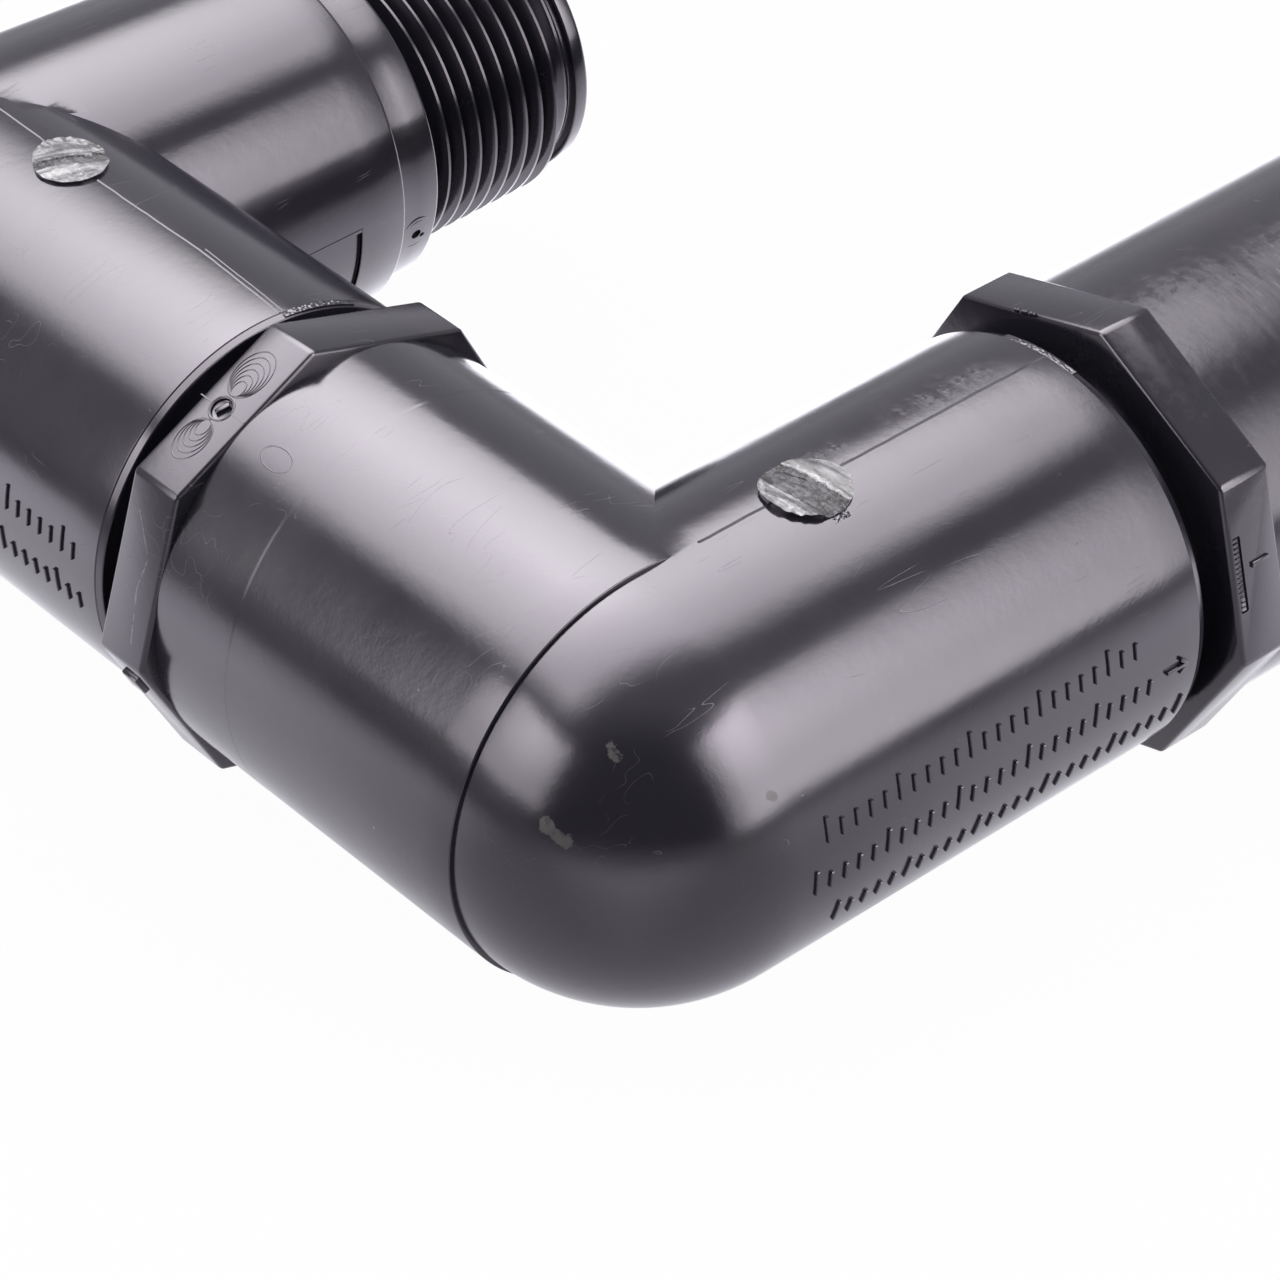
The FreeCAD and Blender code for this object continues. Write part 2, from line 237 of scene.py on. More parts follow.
def smooth(obj: bpy.types.Object, angle: float = 32.0) -> None:
    """Shade an object smooth, with edges sharper than an angle left crisp.

    Args:
        obj: The object.
        angle: The angle in degrees.
    """
    activate(obj)
    bpy.ops.object.shade_smooth_by_angle(angle=math.radians(angle))


def soften(corners: list[Corner], spacing: float) -> list[tuple[float, float]]:
    """Put arcs at the filleted corners of an outline and divide its long runs.

    Args:
        corners: The outline's corners in order.
        spacing: The longest run between two points, in millimetres.

    Returns:
        The outline's points, as places along the axis and radii in millimetres.
    """
    steps = 5
    points: list[Vector] = []
    for index, corner in enumerate(corners):
        here = Vector((corner.along, corner.radius))
        if corner.fillet <= 0 or index in (0, len(corners) - 1):
            points.append(here)
            continue
        before = corners[index - 1]
        after = corners[index + 1]
        back = (Vector((before.along, before.radius)) - here).normalized()
        ahead = (Vector((after.along, after.radius)) - here).normalized()
        half = back.angle(ahead) / 2
        reach = corner.fillet / math.tan(half)
        middle = here + (back + ahead).normalized() * corner.fillet / math.sin(half)
        start = here + back * reach - middle
        end = here + ahead * reach - middle
        sweep = start.angle_signed(end)
        points += [middle + Matrix.Rotation(-sweep * step / steps, 2) @ start for step in range(steps + 1)]
    filled = [points[0]]
    for end in points[1:]:
        start = filled[-1]
        count = max(1, math.ceil((end - start).length / spacing)) if min(start.y, end.y) > 0 else 1
        filled += [start.lerp(end, step / count) for step in range(1, count + 1)]
    return [(point.x, point.y) for point in filled]


def curved_block(
    name: str,
    axis: Axis,
    steps: tuple[int, int],
    surface: Callable[[float, float], tuple[float, float, float]],
    depth: float,
) -> bpy.types.Object:
    """A closed block whose upper face follows a surface bent round an axis.

    Args:
        name: The new object's name.
        axis: The axis that it is bent round.
        steps: Faces along the axis and round it.
        surface: Gives a point's place along the axis, its angle from the top in degrees and its radius
            from its two shares of the way, 0 to 1.
        depth: How far the other side lies below, or above where negative, in millimetres.

    Returns:
        The block.
    """
    deselect()
    bpy.ops.mesh.primitive_grid_add(x_subdivisions=steps[0], y_subdivisions=steps[1], size=1)
    block = bpy.context.object
    block.name = name
    radius = 1.0
    for point in block.data.vertices:
        along, angle, radius = surface(point.co.x + 0.5, point.co.y + 0.5)
        point.co = axis.point(along, angle, radius)
    bpy.ops.object.mode_set(mode="EDIT")
    bpy.ops.mesh.select_all(action="SELECT")
    bpy.ops.mesh.extrude_region_move()
    bpy.ops.transform.resize(value=axis.spread(1 - depth / radius), center_override=(0, 0, 0))
    bpy.ops.object.mode_set(mode="OBJECT")
    face_outwards(block)
    return block


def bead(
    name: str, axis: Axis, path: list[tuple[float, float]], radius: float, width: float, crest: float
) -> bpy.types.Object:
    """A thin raised line along a turned surface, such as the flash of a parting line.

    Args:
        name: The new object's name.
        axis: The surface's axis.
        path: Places along the axis and offsets from the top line, in millimetres.
        radius: The surface's radius.
        width: The line's width.
        crest: Its height.

    Returns:
        The line as a closed block.
    """
    step = 0.8
    waver = 0.07
    waves = 0.6
    seed = 50
    depth = 0.4
    length = path[-1][0] - path[0][0]

    def surface(share: float, across: float) -> tuple[float, float, float]:
        along = path[0][0] + length * share
        grain = noise.noise(Vector((along * waves, crest * seed, radius)))
        offset = interpolate(path, along) + waver * grain
        angle = math.degrees((offset + (across - 0.5) * width) / radius)
        on_crest = abs(across - 0.5) < 0.1
        return along, angle, radius + (crest if on_crest else -SUNK)

    count = math.ceil(abs(length) / step)
    return curved_block(name, axis, (count, 2), surface, depth)


def interpolate(path: list[tuple[float, float]], along: float) -> float:
    """The offset of a broken line at a place along it.

    Args:
        path: Places and offsets, in the order of their places.
        along: The place.

    Returns:
        The offset.
    """
    for (start, first), (end, last) in zip(path, path[1:]):
        if along <= end:
            return first + (last - first) * (along - start) / (end - start)
    return path[-1][1]


def torn_strip(
    axis: Axis, along: tuple[float, float], around: tuple[float, float], radius: float, height: float
) -> bpy.types.Object:
    """A strip of torn, stippled flash on a turned surface.

    Args:
        axis: The surface's axis.
        along: Its start and end along the axis, in millimetres.
        around: Its first and last angle from the top, in degrees.
        radius: The surface's radius.
        height: Its greatest height.

    Returns:
        The strip as a closed block.
    """
    face = 0.09
    grains = 4
    ends = 4
    sides = 8
    depth = 0.5

    def surface(share: float, turn: float) -> tuple[float, float, float]:
        angle = around[0] + (around[1] - around[0]) * turn
        place = along[0] + (along[1] - along[0]) * share
        grain = noise.noise(Vector((place * grains, math.radians(angle) * radius * grains, radius)))
        fade = min(1.0, ends * share, ends * (1 - share), sides * turn, sides * (1 - turn))
        return place, angle, radius - SUNK + fade * height * (0.5 + 0.9 * grain)

    length = (along[1] - along[0]) / face
    girth = math.radians(around[1] - around[0]) * radius / face
    return curved_block("torn_strip", axis, (round(length), round(girth)), surface, depth)


def bar(
    place: Matrix,
    size: tuple[float, float, float],
    middle: tuple[float, float, float] = (0.0, 0.0, 0.0),
    turn: float = 0.0,
    rounding: float = 0.0,
) -> bpy.types.Object:
    """A small block on a flat spot.

    Args:
        place: The flat spot's frame.
        size: Its three sizes in millimetres.
        middle: Its middle in the flat spot's frame, in millimetres.
        turn: Its turn on the flat spot, in degrees.
        rounding: Width of its rounded edges in millimetres.

    Returns:
        The block.
    """
    deselect()
    bpy.ops.mesh.primitive_cube_add(size=1)
    block = bpy.context.object
    spin = Matrix.Rotation(math.radians(turn), 4, "Z")
    stretch = Matrix.Diagonal((*(length * MM for length in size), 1.0))
    block.matrix_world = place @ Matrix.Translation(Vector(middle) * MM) @ spin @ stretch
    settle(block)
    face_outwards(block)
    if rounding > 0:
        round_edges(block, rounding, 2)
    return block


def stud(
    place: Matrix, radius: float, depth: float, middle: tuple[float, float, float] = (0.0, 0.0, 0.0)
) -> bpy.types.Object:
    """A short round block on a flat spot, bevelled at its ends.

    Args:
        place: The flat spot's frame.
        radius: Its radius in millimetres.
        depth: Its length in millimetres.
        middle: Its middle in the flat spot's frame, in millimetres.

    Returns:
        The block.
    """
    deselect()
    bpy.ops.mesh.primitive_cylinder_add(vertices=40, radius=radius * MM, depth=depth * MM)
    block = bpy.context.object
    block.matrix_world = place @ Matrix.Translation(Vector(middle) * MM)
    settle(block)
    face_outwards(block)
    round_edges(block, min(radius, depth) / 4, 2)
    return block


def ripple(
    place: Matrix,
    radius: float,
    middle: tuple[float, float, float],
    squash: float = 1.0,
    thickness: float = 0.05,
) -> bpy.types.Object:
    """A fine raised ring on a flat spot.

    Args:
        place: The flat spot's frame.
        radius: The ring's radius in millimetres.
        middle: Its middle in the flat spot's frame, in millimetres.
        squash: Its length along the axis as a share of its length round it.
        thickness: Radius of its section.

    Returns:
        The ring.
    """
    deselect()
    bpy.ops.mesh.primitive_torus_add(
        major_radius=radius * MM, minor_radius=thickness * MM, major_segments=48, minor_segments=8
    )
    ring = bpy.context.object
    stretch = Matrix.Diagonal((squash, 1.0, 1.0, 1.0))
    ring.matrix_world = place @ Matrix.Translation(Vector(middle) * MM) @ stretch
    settle(ring)
    face_outwards(ring)
    return ring


def repeat(block: bpy.types.Object, moves: list[Vector]) -> list[bpy.types.Object]:
    """Copy a block, each copy with its own mesh, and keep the block itself.

    Args:
        block: The block.
        moves: How far each copy lies from it, in millimetres.

    Returns:
        The block and its copies.
    """
    copies = [block]
    for move in moves:
        copy = block.copy()
        copy.data = block.data.copy()
        copy.data.transform(Matrix.Translation(move * MM))
        bpy.context.collection.objects.link(copy)
        copies.append(copy)
    return copies


def dome(radius: float, steps: int = 36) -> list[Corner]:
    """The corners of a half ball round the origin, from its pole to its widest ring.

    Args:
        radius: The ball's radius in millimetres.
        steps: Rings from the pole to the widest ring.

    Returns:
        The outline's corners.
    """
    angles = [QUARTER * step / steps for step in range(steps + 1)]
    return [Corner(-radius * math.cos(angle), radius * math.sin(angle)) for angle in angles]


@dataclass(frozen=True)
class Lathe:
    """Turns closed solids ring by ring along an axis of the fitting's own frame."""

    axis: Axis
    segments: int = 176
    spacing: float = 4.0

    def turn(self, name: str, corners: list[Corner]) -> bpy.types.Object:
        """Turn an outline that starts and ends on the axis.

        Args:
            name: The new object's name.
            corners: The outline's corners, the first and the last with no radius.

        Returns:
            The turned solid.
        """
        points = soften(corners, self.spacing)
        deselect()
        first_place, first_radius = points[1]
        bpy.ops.mesh.primitive_circle_add(
            vertices=self.segments, radius=first_radius * MM, fill_type="TRIFAN"
        )
        solid = bpy.context.object
        solid.name = name
        half_step = Matrix.Rotation(math.pi / self.segments, 4, "Z")
        place = Matrix.Translation(self.axis.vector * first_place * MM)
        solid.matrix_world = place @ self.axis.upright @ half_step
        settle(solid)
        bpy.ops.object.mode_set(mode="EDIT")
        bpy.ops.mesh.select_all(action="SELECT")
        for (start, wide), (end, narrow) in zip(points[1:-2], points[2:-1]):
            step = self.axis.vector * (end - start) * MM
            bpy.ops.mesh.extrude_region_move(TRANSFORM_OT_translate={"value": step})
            if abs(narrow - wide) > EPSILON:
                bpy.ops.transform.resize(
                    value=self.axis.spread(narrow / wide), center_override=self.axis.vector * end * MM
                )
        self._close(solid, points[1][0], points[0][0])
        self._close(solid, points[-2][0], points[-1][0])
        bpy.ops.object.mode_set(mode="OBJECT")
        face_outwards(solid)
        return solid

    def _close(self, solid: bpy.types.Object, ring: float, pole: float) -> None:
        """Push the middle of an end disc out to its pole."""
        if abs(pole - ring) < EPSILON:
            return

        def is_middle(point: Vector) -> bool:
            along = point.dot(self.axis.vector)
            off = (point - self.axis.vector * along).length
            return off < EPSILON and abs(along - ring * MM) < EPSILON

        select_points(solid, is_middle)
        bpy.ops.transform.translate(value=self.axis.vector * (pole - ring) * MM)


@dataclass(frozen=True)
class Helix:
    """A helical ridge with a flat crest, which fades out at both ends."""

    pitch: float
    turns: float
    root_radius: float
    crest_radius: float
    root_width: float
    crest_width: float
    taper: float = 0.0
    steps_per_turn: int = 72
    fade_turns: float = 0.35
    sunk: float = 0.25

    def make(self, name: str, axis: Axis, start: float) -> bpy.types.Object:
        """Sweep the ridge along a right-hand helix.

        Args:
            name: The new object's name.
            axis: The axis it winds round.
            start: Place of the first turn's middle along the axis, in millimetres.

        Returns:
            The ridge, closed at both ends.
        """
        deselect()
        bpy.ops.mesh.primitive_circle_add(vertices=6, radius=MM)
        ridge = bpy.context.object
        ridge.name = name
        low = self.root_radius - self.sunk
        section = [
            (low, -self.root_width / 2),
            (low, self.root_width / 2),
            (self.root_radius, self.root_width / 2),
            (self.crest_radius, self.crest_width / 2),
            (self.crest_radius, -self.crest_width / 2),
            (self.root_radius, -self.root_width / 2),
        ]
        for point, (radius, along) in zip(ridge.data.vertices, section):
            point.co = Vector((radius, 0, along)) * MM
        modifier = ridge.modifiers.new("winding", "SCREW")
        modifier.angle = FULL_TURN * self.turns
        modifier.screw_offset = self.pitch * self.turns * MM
        modifier.steps = modifier.render_steps = round(self.steps_per_turn * self.turns)
        bpy.ops.object.modifier_apply(modifier=modifier.name)
        bpy.ops.object.mode_set(mode="EDIT")
        bpy.ops.mesh.select_all(action="SELECT")
        bpy.ops.mesh.fill_holes(sides=0)
        bpy.ops.object.mode_set(mode="OBJECT")
        self._fade(ridge)
        ridge.matrix_world = Matrix.Translation(axis.vector * start * MM) @ axis.upright
        settle(ridge)
        face_outwards(ridge)
        return ridge

    def _fade(self, ridge: bpy.types.Object) -> None:
        """Lower the crest with the taper and sink it at both ends."""
        length = self.pitch * self.turns
        section_count = 6
        steps = len(ridge.data.vertices) // section_count
        for index, point in enumerate(ridge.data.vertices):
            turn = (index // section_count) / max(steps - 1, 1) * self.turns
            radius = point.co.xy.length / MM
            share = min(1.0, turn / self.fade_turns, (self.turns - turn) / self.fade_turns)
            height = max(radius - self.root_radius, -self.sunk)
            wanted = self.root_radius + (height * share if height > 0 else height)
            wanted -= self.taper * length * turn / self.turns
            if height > 0:
                wanted -= self.sunk * (1 - share)
            point.co.xy = point.co.xy.normalized() * wanted * MM


@dataclass(frozen=True)
class SwivelSizes:
    """Sizes that all the fittings share, in millimetres."""

    socket_radius: float = 21.6
    arm_radius: float = 22.0
    mouth_radius: float = 18.1
    mouth_depth: float = 12.2
    mouth_bevel: float = 0.5
    rim_round: float = 0.4
    rim_width: float = 0.9
    rim_drop: float = 0.1
    chamber_radius: float = 16.2
    tip_room: float = 3.0
    collar_thickness: float = 6.4
    collar_flats: float = 44.5
    collar_round: float = 0.45
    spigot_length: float = 31.0
    land_radius: float = 17.9
    land_length: float = 10.6
    groove_start: float = 3.8
    groove_width: float = 3.2
    groove_radius: float = 15.8
    core_radius: float = 15.9
    tip_bevel: float = 0.8
    thread_start: float = 13.2
    thread_pitch: float = 5.08
    thread_turns: float = 2.5
    thread_crest: float = 17.3
    thread_root_width: float = 3.0
    thread_crest_width: float = 1.6
    waterway_radius: float = 13.0

    @property
    def collar_corner(self) -> float:
        """Middle to corner of a collar."""
        return self.collar_flats / 2 / math.cos(math.pi / 8)

    def socket(self, reach: float) -> bpy.types.Object:
        """A ball heel and a solid socket along X.

        Args:
            reach: Corner to mouth.

        Returns:
            The solid.
        """
        corners = dome(self.socket_radius) + [
            Corner(reach - self.rim_width, self.socket_radius, 0.1),
            Corner(reach - self.rim_width + self.rim_drop, self.socket_radius - self.rim_drop, 0.1),
            Corner(reach, self.socket_radius - self.rim_drop - self.rim_round / 2, self.rim_round / 2),
            Corner(reach, 0),
        ]
        return Lathe(Axis.X).turn("socket", corners)

    def socket_bore(self, reach: float, gap: float) -> bpy.types.Object:
        """The space inside a socket along X.

        Args:
            reach: Corner to mouth.
            gap: Mouth to the collar of the spigot in it.

        Returns:
            The solid to cut away.
        """
        past = reach + 1
        shoulder = reach - self.mouth_depth
        chamber_end = reach + gap - self.spigot_length - self.tip_room
        corners = dome(self.waterway_radius, 16) + [
            Corner(chamber_end, self.waterway_radius),
            Corner(chamber_end, self.chamber_radius),
            Corner(shoulder, self.chamber_radius),
            Corner(shoulder, self.mouth_radius),
            Corner(reach - self.mouth_bevel, self.mouth_radius),
            Corner(reach, self.mouth_radius + self.mouth_bevel),
            Corner(past, self.mouth_radius + self.mouth_bevel),
            Corner(past, 0),
        ]
        return Lathe(Axis.X, segments=128).turn("socket_bore", corners)

    def waterway(self, radius: float, start: float, end: float, axis: Axis) -> bpy.types.Object:
        """A plain bore.

        Args:
            radius: Its radius.
            start: Where it starts along the axis.
            end: Where it ends.
            axis: Its axis.

        Returns:
            The solid to cut away.
        """
        corners = [Corner(start, 0), Corner(start, radius), Corner(end, radius), Corner(end, 0)]
        return Lathe(axis, segments=128).turn("waterway", corners)

    def spigot(self, face: float, outwards: int) -> list[Corner]:
        """The outline of a spigot from inside its collar to its tip.

        Args:
            face: Place of the collar's face along the arm.
            outwards: 1 where the spigot points along the axis, -1 against it.

        Returns:
            The outline's corners, the last on the axis.
        """
        groove_end = self.groove_start + self.groove_width
        steps = [
            (-self.collar_thickness / 2, self.land_radius),
            (self.groove_start, self.land_radius),
            (self.groove_start, self.groove_radius),
            (groove_end, self.groove_radius),
            (groove_end, self.land_radius),
            (self.land_length, self.land_radius),
            (self.land_length, self.core_radius),
            (self.spigot_length - self.tip_bevel, self.core_radius),
            (self.spigot_length, self.core_radius - self.tip_bevel),
            (self.spigot_length, 0.0),
        ]
        return [Corner(face + along * outwards, radius) for along, radius in steps]

    def collar(self, face: float, outwards: int, turn: float, axis: Axis) -> bpy.types.Object:
        """An octagonal wrench collar.

        Args:
            face: Place of the face that the spigot leaves, along the arm.
            outwards: 1 where the spigot points along the axis, -1 against it.
            turn: Turn about the axis in degrees.
            axis: The arm's axis.

        Returns:
            The collar as a solid.
        """
        deselect()
        bpy.ops.mesh.primitive_cylinder_add(
            vertices=8, radius=self.collar_corner * MM, depth=self.collar_thickness * MM
        )
        prism = bpy.context.object
        middle = face - outwards * self.collar_thickness / 2
        spin = Matrix.Rotation(math.radians(turn), 4, axis.vector)
        prism.matrix_world = Matrix.Translation(axis.vector * middle * MM) @ spin @ axis.upright
        settle(prism)
        round_edges(prism, self.collar_round)
        return prism

    def thread(self, face: float, outwards: int, axis: Axis) -> bpy.types.Object:
        """The coarse thread of a spigot.

        Args:
            face: Place of the collar's face along the arm.
            outwards: 1 where the spigot points along the axis, -1 against it.
            axis: The arm's axis.

        Returns:
            The helical ridge.
        """
        length = self.thread_pitch * self.thread_turns
        start = face + self.thread_start if outwards > 0 else face - self.thread_start - length
        ridge = Helix(
            pitch=self.thread_pitch,
            turns=self.thread_turns,
            root_radius=self.core_radius,
            crest_radius=self.thread_crest,
            root_width=self.thread_root_width,
            crest_width=self.thread_crest_width,
        )
        return ridge.make("spigot_thread", axis, start)


class NodeBench:
    """Adds and wires the nodes of one node tree."""

    def __init__(self, tree: bpy.types.NodeTree) -> None:
        """Take a tree to work on."""
        self.tree = tree

    def add(self, kind: str, inputs: dict | None = None, **settings) -> bpy.types.Node:
        """Add a node, set its options and fill its inputs with values or links.

        Args:
            kind: The node's type without the ShaderNode prefix.
            inputs: Socket name or number to value or to another node's output.
            settings: The node's own options.

        Returns:
            The node.
        """
        node = self.tree.nodes.new("ShaderNode" + kind)
        for name, value in settings.items():
            setattr(node, name, value)
        for key, value in (inputs or {}).items():
            if isinstance(value, bpy.types.NodeSocket):
                self.tree.links.new(value, node.inputs[key])
            else:
                node.inputs[key].default_value = value
        return node

    def group(self, group: Group, inputs: dict) -> bpy.types.Node:
        """Add one of the shared node groups and fill its inputs."""
        return self.add("Group", inputs, node_tree=bpy.data.node_groups[group.value])

    def math(self, operation: str, *values) -> bpy.types.NodeSocket:
        """A sum, product or other function of values and links."""
        return self.add("Math", dict(enumerate(values)), operation=operation).outputs[0]

    def vector(self, operation: str, *values) -> bpy.types.NodeSocket:
        """A function of vectors, which is a number where it measures and a vector elsewhere."""
        node = self.add("VectorMath", dict(enumerate(values)), operation=operation)
        return node.outputs[1 if operation in MEASURES else 0]

    def stretch(self, vector, turns: tuple[float, ...], scales: tuple[float, ...]) -> bpy.types.NodeSocket:
        """A place turned and then scaled, so that noise at it runs in streaks."""
        return self.add("Mapping", {"Vector": vector, "Rotation": turns, "Scale": scales}).outputs[0]

    def ramp(
        self, value, low: float, high: float, start: float = 0.0, end: float = 1.0
    ) -> bpy.types.NodeSocket:
        """Map one range of a value to another, held at its ends."""
        inputs = {"Value": value, "From Min": low, "From Max": high, "To Min": start, "To Max": end}
        return self.add("MapRange", inputs, clamp=True).outputs[0]

    def noise(self, vector, scale: float, detail: float = 2.0, rough: float = 0.5) -> bpy.types.NodeSocket:
        """Noise with a given number of waves a metre."""
        inputs = {"Vector": vector, "Scale": scale, "Detail": detail, "Roughness": rough}
        return self.add("TexNoise", inputs).outputs[0]

    def mix(self, share, first, second) -> bpy.types.NodeSocket:
        """Blend two colours."""
        node = self.add("Mix", {0: share, 6: first, 7: second}, data_type="RGBA")
        return node.outputs[2]


class Group(Enum):
    """The node groups of the moulded plastic's finish."""

    MOULD_SKIN = "mould_skin"
    SPECKS = "specks"
    MARK = "mark"


def group_tree(
    group: Group, inputs: list[str], outputs: list[str], vectors: tuple[str, ...] = ("Vector",)
) -> tuple[NodeBench, bpy.types.Node, bpy.types.Node]:
    """Start a node group of plain numbers with vector inputs.

    Args:
        group: Which group.
        inputs: Names of its number inputs.
        outputs: Names of its number outputs.
        vectors: Names of its vector inputs.

    Returns:
        The bench, the group's input node and its output node.
    """
    tree = bpy.data.node_groups.new(group.value, "ShaderNodeTree")
    for name in vectors:
        tree.interface.new_socket(name, in_out="INPUT", socket_type="NodeSocketVector")
    for name in inputs:
        tree.interface.new_socket(name, in_out="INPUT", socket_type="NodeSocketFloat")
    for name in outputs:
        tree.interface.new_socket(name, in_out="OUTPUT", socket_type="NodeSocketFloat")
    bench = NodeBench(tree)
    entry = tree.nodes.new("NodeGroupInput")
    leave = tree.nodes.new("NodeGroupOutput")
    return bench, entry, leave


def make_mould_skin() -> bpy.types.NodeTree:
    """Orange peel, slow waves and sparse scratches of a moulded surface.

    Returns:
        The node group, with a height in millimetres and a scratch mask.
    """
    inputs = ["Peel", "Waves", "Scratches"]
    bench, entry, leave = group_tree(Group.MOULD_SKIN, inputs, ["Height", "Scratch"])
    place = entry.outputs["Vector"]
    peel = bench.math("MULTIPLY", bench.noise(place, 620, 6.0, 0.7), entry.outputs["Peel"])
    waves = bench.math("MULTIPLY", bench.noise(place, 45, 2.0), entry.outputs["Waves"])
    lines = None
    for turn, scale in ((0.5, 55.0), (1.9, 80.0)):
        streak = bench.noise(bench.stretch(place, (0.4, turn, turn), (1.0, 9.0, 9.0)), scale, 0.0)
        edge = bench.math("ABSOLUTE", bench.math("SUBTRACT", streak, 0.5))
        line = bench.ramp(edge, 0.0, 0.004, 1.0, 0.0)
        patch = bench.ramp(bench.noise(place, 120 * turn, 1.0), 0.62, 0.68)
        line = bench.math("MULTIPLY", line, patch)
        lines = line if lines is None else bench.math("MAXIMUM", lines, line)
    scratch = bench.math("MULTIPLY", lines, entry.outputs["Scratches"])
    height = bench.math("ADD", peel, waves)
    height = bench.math("SUBTRACT", height, bench.math("MULTIPLY", scratch, 0.004))
    bench.tree.links.new(height, leave.inputs["Height"])
    bench.tree.links.new(scratch, leave.inputs["Scratch"])
    return bench.tree


def make_specks() -> bpy.types.NodeTree:
    """Small round specks, such as dust, in a share of the cells.

    Returns:
        The node group, with a mask.
    """
    bench, entry, leave = group_tree(Group.SPECKS, ["Scale", "Size", "Share"], ["Mask"])
    inputs = {"Vector": entry.outputs["Vector"], "Scale": entry.outputs["Scale"]}
    cells = bench.add("TexVoronoi", inputs, feature="F1")
    chance = bench.add("SeparateColor", {0: cells.outputs["Color"]}).outputs[0]
    picked = bench.math("LESS_THAN", chance, entry.outputs["Share"])
    near = bench.math("LESS_THAN", cells.outputs["Distance"], entry.outputs["Size"])
    bench.tree.links.new(bench.math("MULTIPLY", picked, near), leave.inputs["Mask"])
    return bench.tree


def make_mark() -> bpy.types.NodeTree:
    """A mark with a ragged, broken edge along a straight stroke.

    Returns:
        The node group, with a mask.
    """
    vectors = ("Vector", "Start", "End")
    bench, entry, leave = group_tree(Group.MARK, ["Width", "Core", "Breaks"], ["Mask"], vectors)
    place, start, end = (entry.outputs[name] for name in vectors)
    reach = bench.vector("SUBTRACT", place, start)
    stroke = bench.vector("SUBTRACT", end, start)
    along = bench.vector("DOT_PRODUCT", reach, stroke)
    whole = bench.vector("DOT_PRODUCT", stroke, stroke)
    share = bench.ramp(bench.math("DIVIDE", along, whole), 0.0, 1.0)
    foot = bench.add("VectorMath", {0: stroke, "Scale": share}, operation="SCALE").outputs[0]
    away = bench.vector("DISTANCE", reach, foot)
    grain = bench.noise(place, 900, 3.0, 0.6)
    width = bench.math("MULTIPLY", entry.outputs["Width"], bench.ramp(grain, 0.3, 0.7, 0.4, 1.5))
    inside = bench.ramp(bench.math("DIVIDE", away, width), entry.outputs["Core"], 1.0, 1.0, 0.0)
    blots = bench.ramp(bench.noise(place, 1500, 2.0, 0.6), 0.38, 0.5)
    broken = bench.add("Mix", {0: entry.outputs["Breaks"], 2: 1.0, 3: blots}).outputs[0]
    bench.tree.links.new(bench.math("MULTIPLY", inside, broken), leave.inputs["Mask"])
    return bench.tree


@dataclass(frozen=True)
class Mark:
    """A scratch, smudge or dull patch, from one point to another of the street elbow's own frame."""

    start: tuple[float, float, float]
    end: tuple[float, float, float]
    width: float
    breaks: float = 1.0
    core: float = 0.7

    def mask(self, bench: NodeBench, place: bpy.types.NodeSocket, corner: Vector) -> bpy.types.NodeSocket:
        """Add the mark's mask to a material.

        Args:
            bench: The material's nodes.
            place: The point that is shaded.
            corner: The street elbow's corner, in metres.

        Returns:
            The mask.
        """
        inputs = {
            "Vector": place,
            "Start": corner + Vector(self.start) * MM,
            "End": corner + Vector(self.end) * MM,
            "Width": self.width * MM,
            "Breaks": self.breaks,
            "Core": self.core,
        }
        return bench.group(Group.MARK, inputs).outputs["Mask"]


SCRATCHES = (
    Mark((-19.56, 46.6, 12.09), (-20.71, 44.2, 8.36), 0.09),
    Mark((-20.71, 44.2, 8.36), (-21.74, 44.9, 5.01), 0.11),
    Mark((-21.74, 44.9, 5.01), (-23.30, 44.2, -0.06), 0.12),
    Mark((-21.3, 46.2, 7.9), (-21.9, 46.3, 4.4), 0.06),
)
SMUDGES = (
    Mark((-17.9, -8.4, 8.6), (-17.3, -10.2, 7.6), 0.75, 0.5),
    Mark((-12.0, -9.9, 15.0), (-12.0, -10.8, 14.4), 0.55, 0.8),
    Mark((-1.96, -19.2, 9.9), (-1.5, -19.4, 9.5), 0.45, 0.8),
)
DULL_PATCHES = (
    Mark((61.0, -5.0, 21.0), (82.0, -6.0, 21.0), 9.0, 0.0, 0.0),
    Mark((34.0, 3.0, 21.3), (43.0, 2.4, 21.4), 3.4, 0.9, 0.0),
    Mark((20.0, 2.5, 21.4), (26.0, 2.5, 21.4), 2.6, 0.9, 0.0),
)


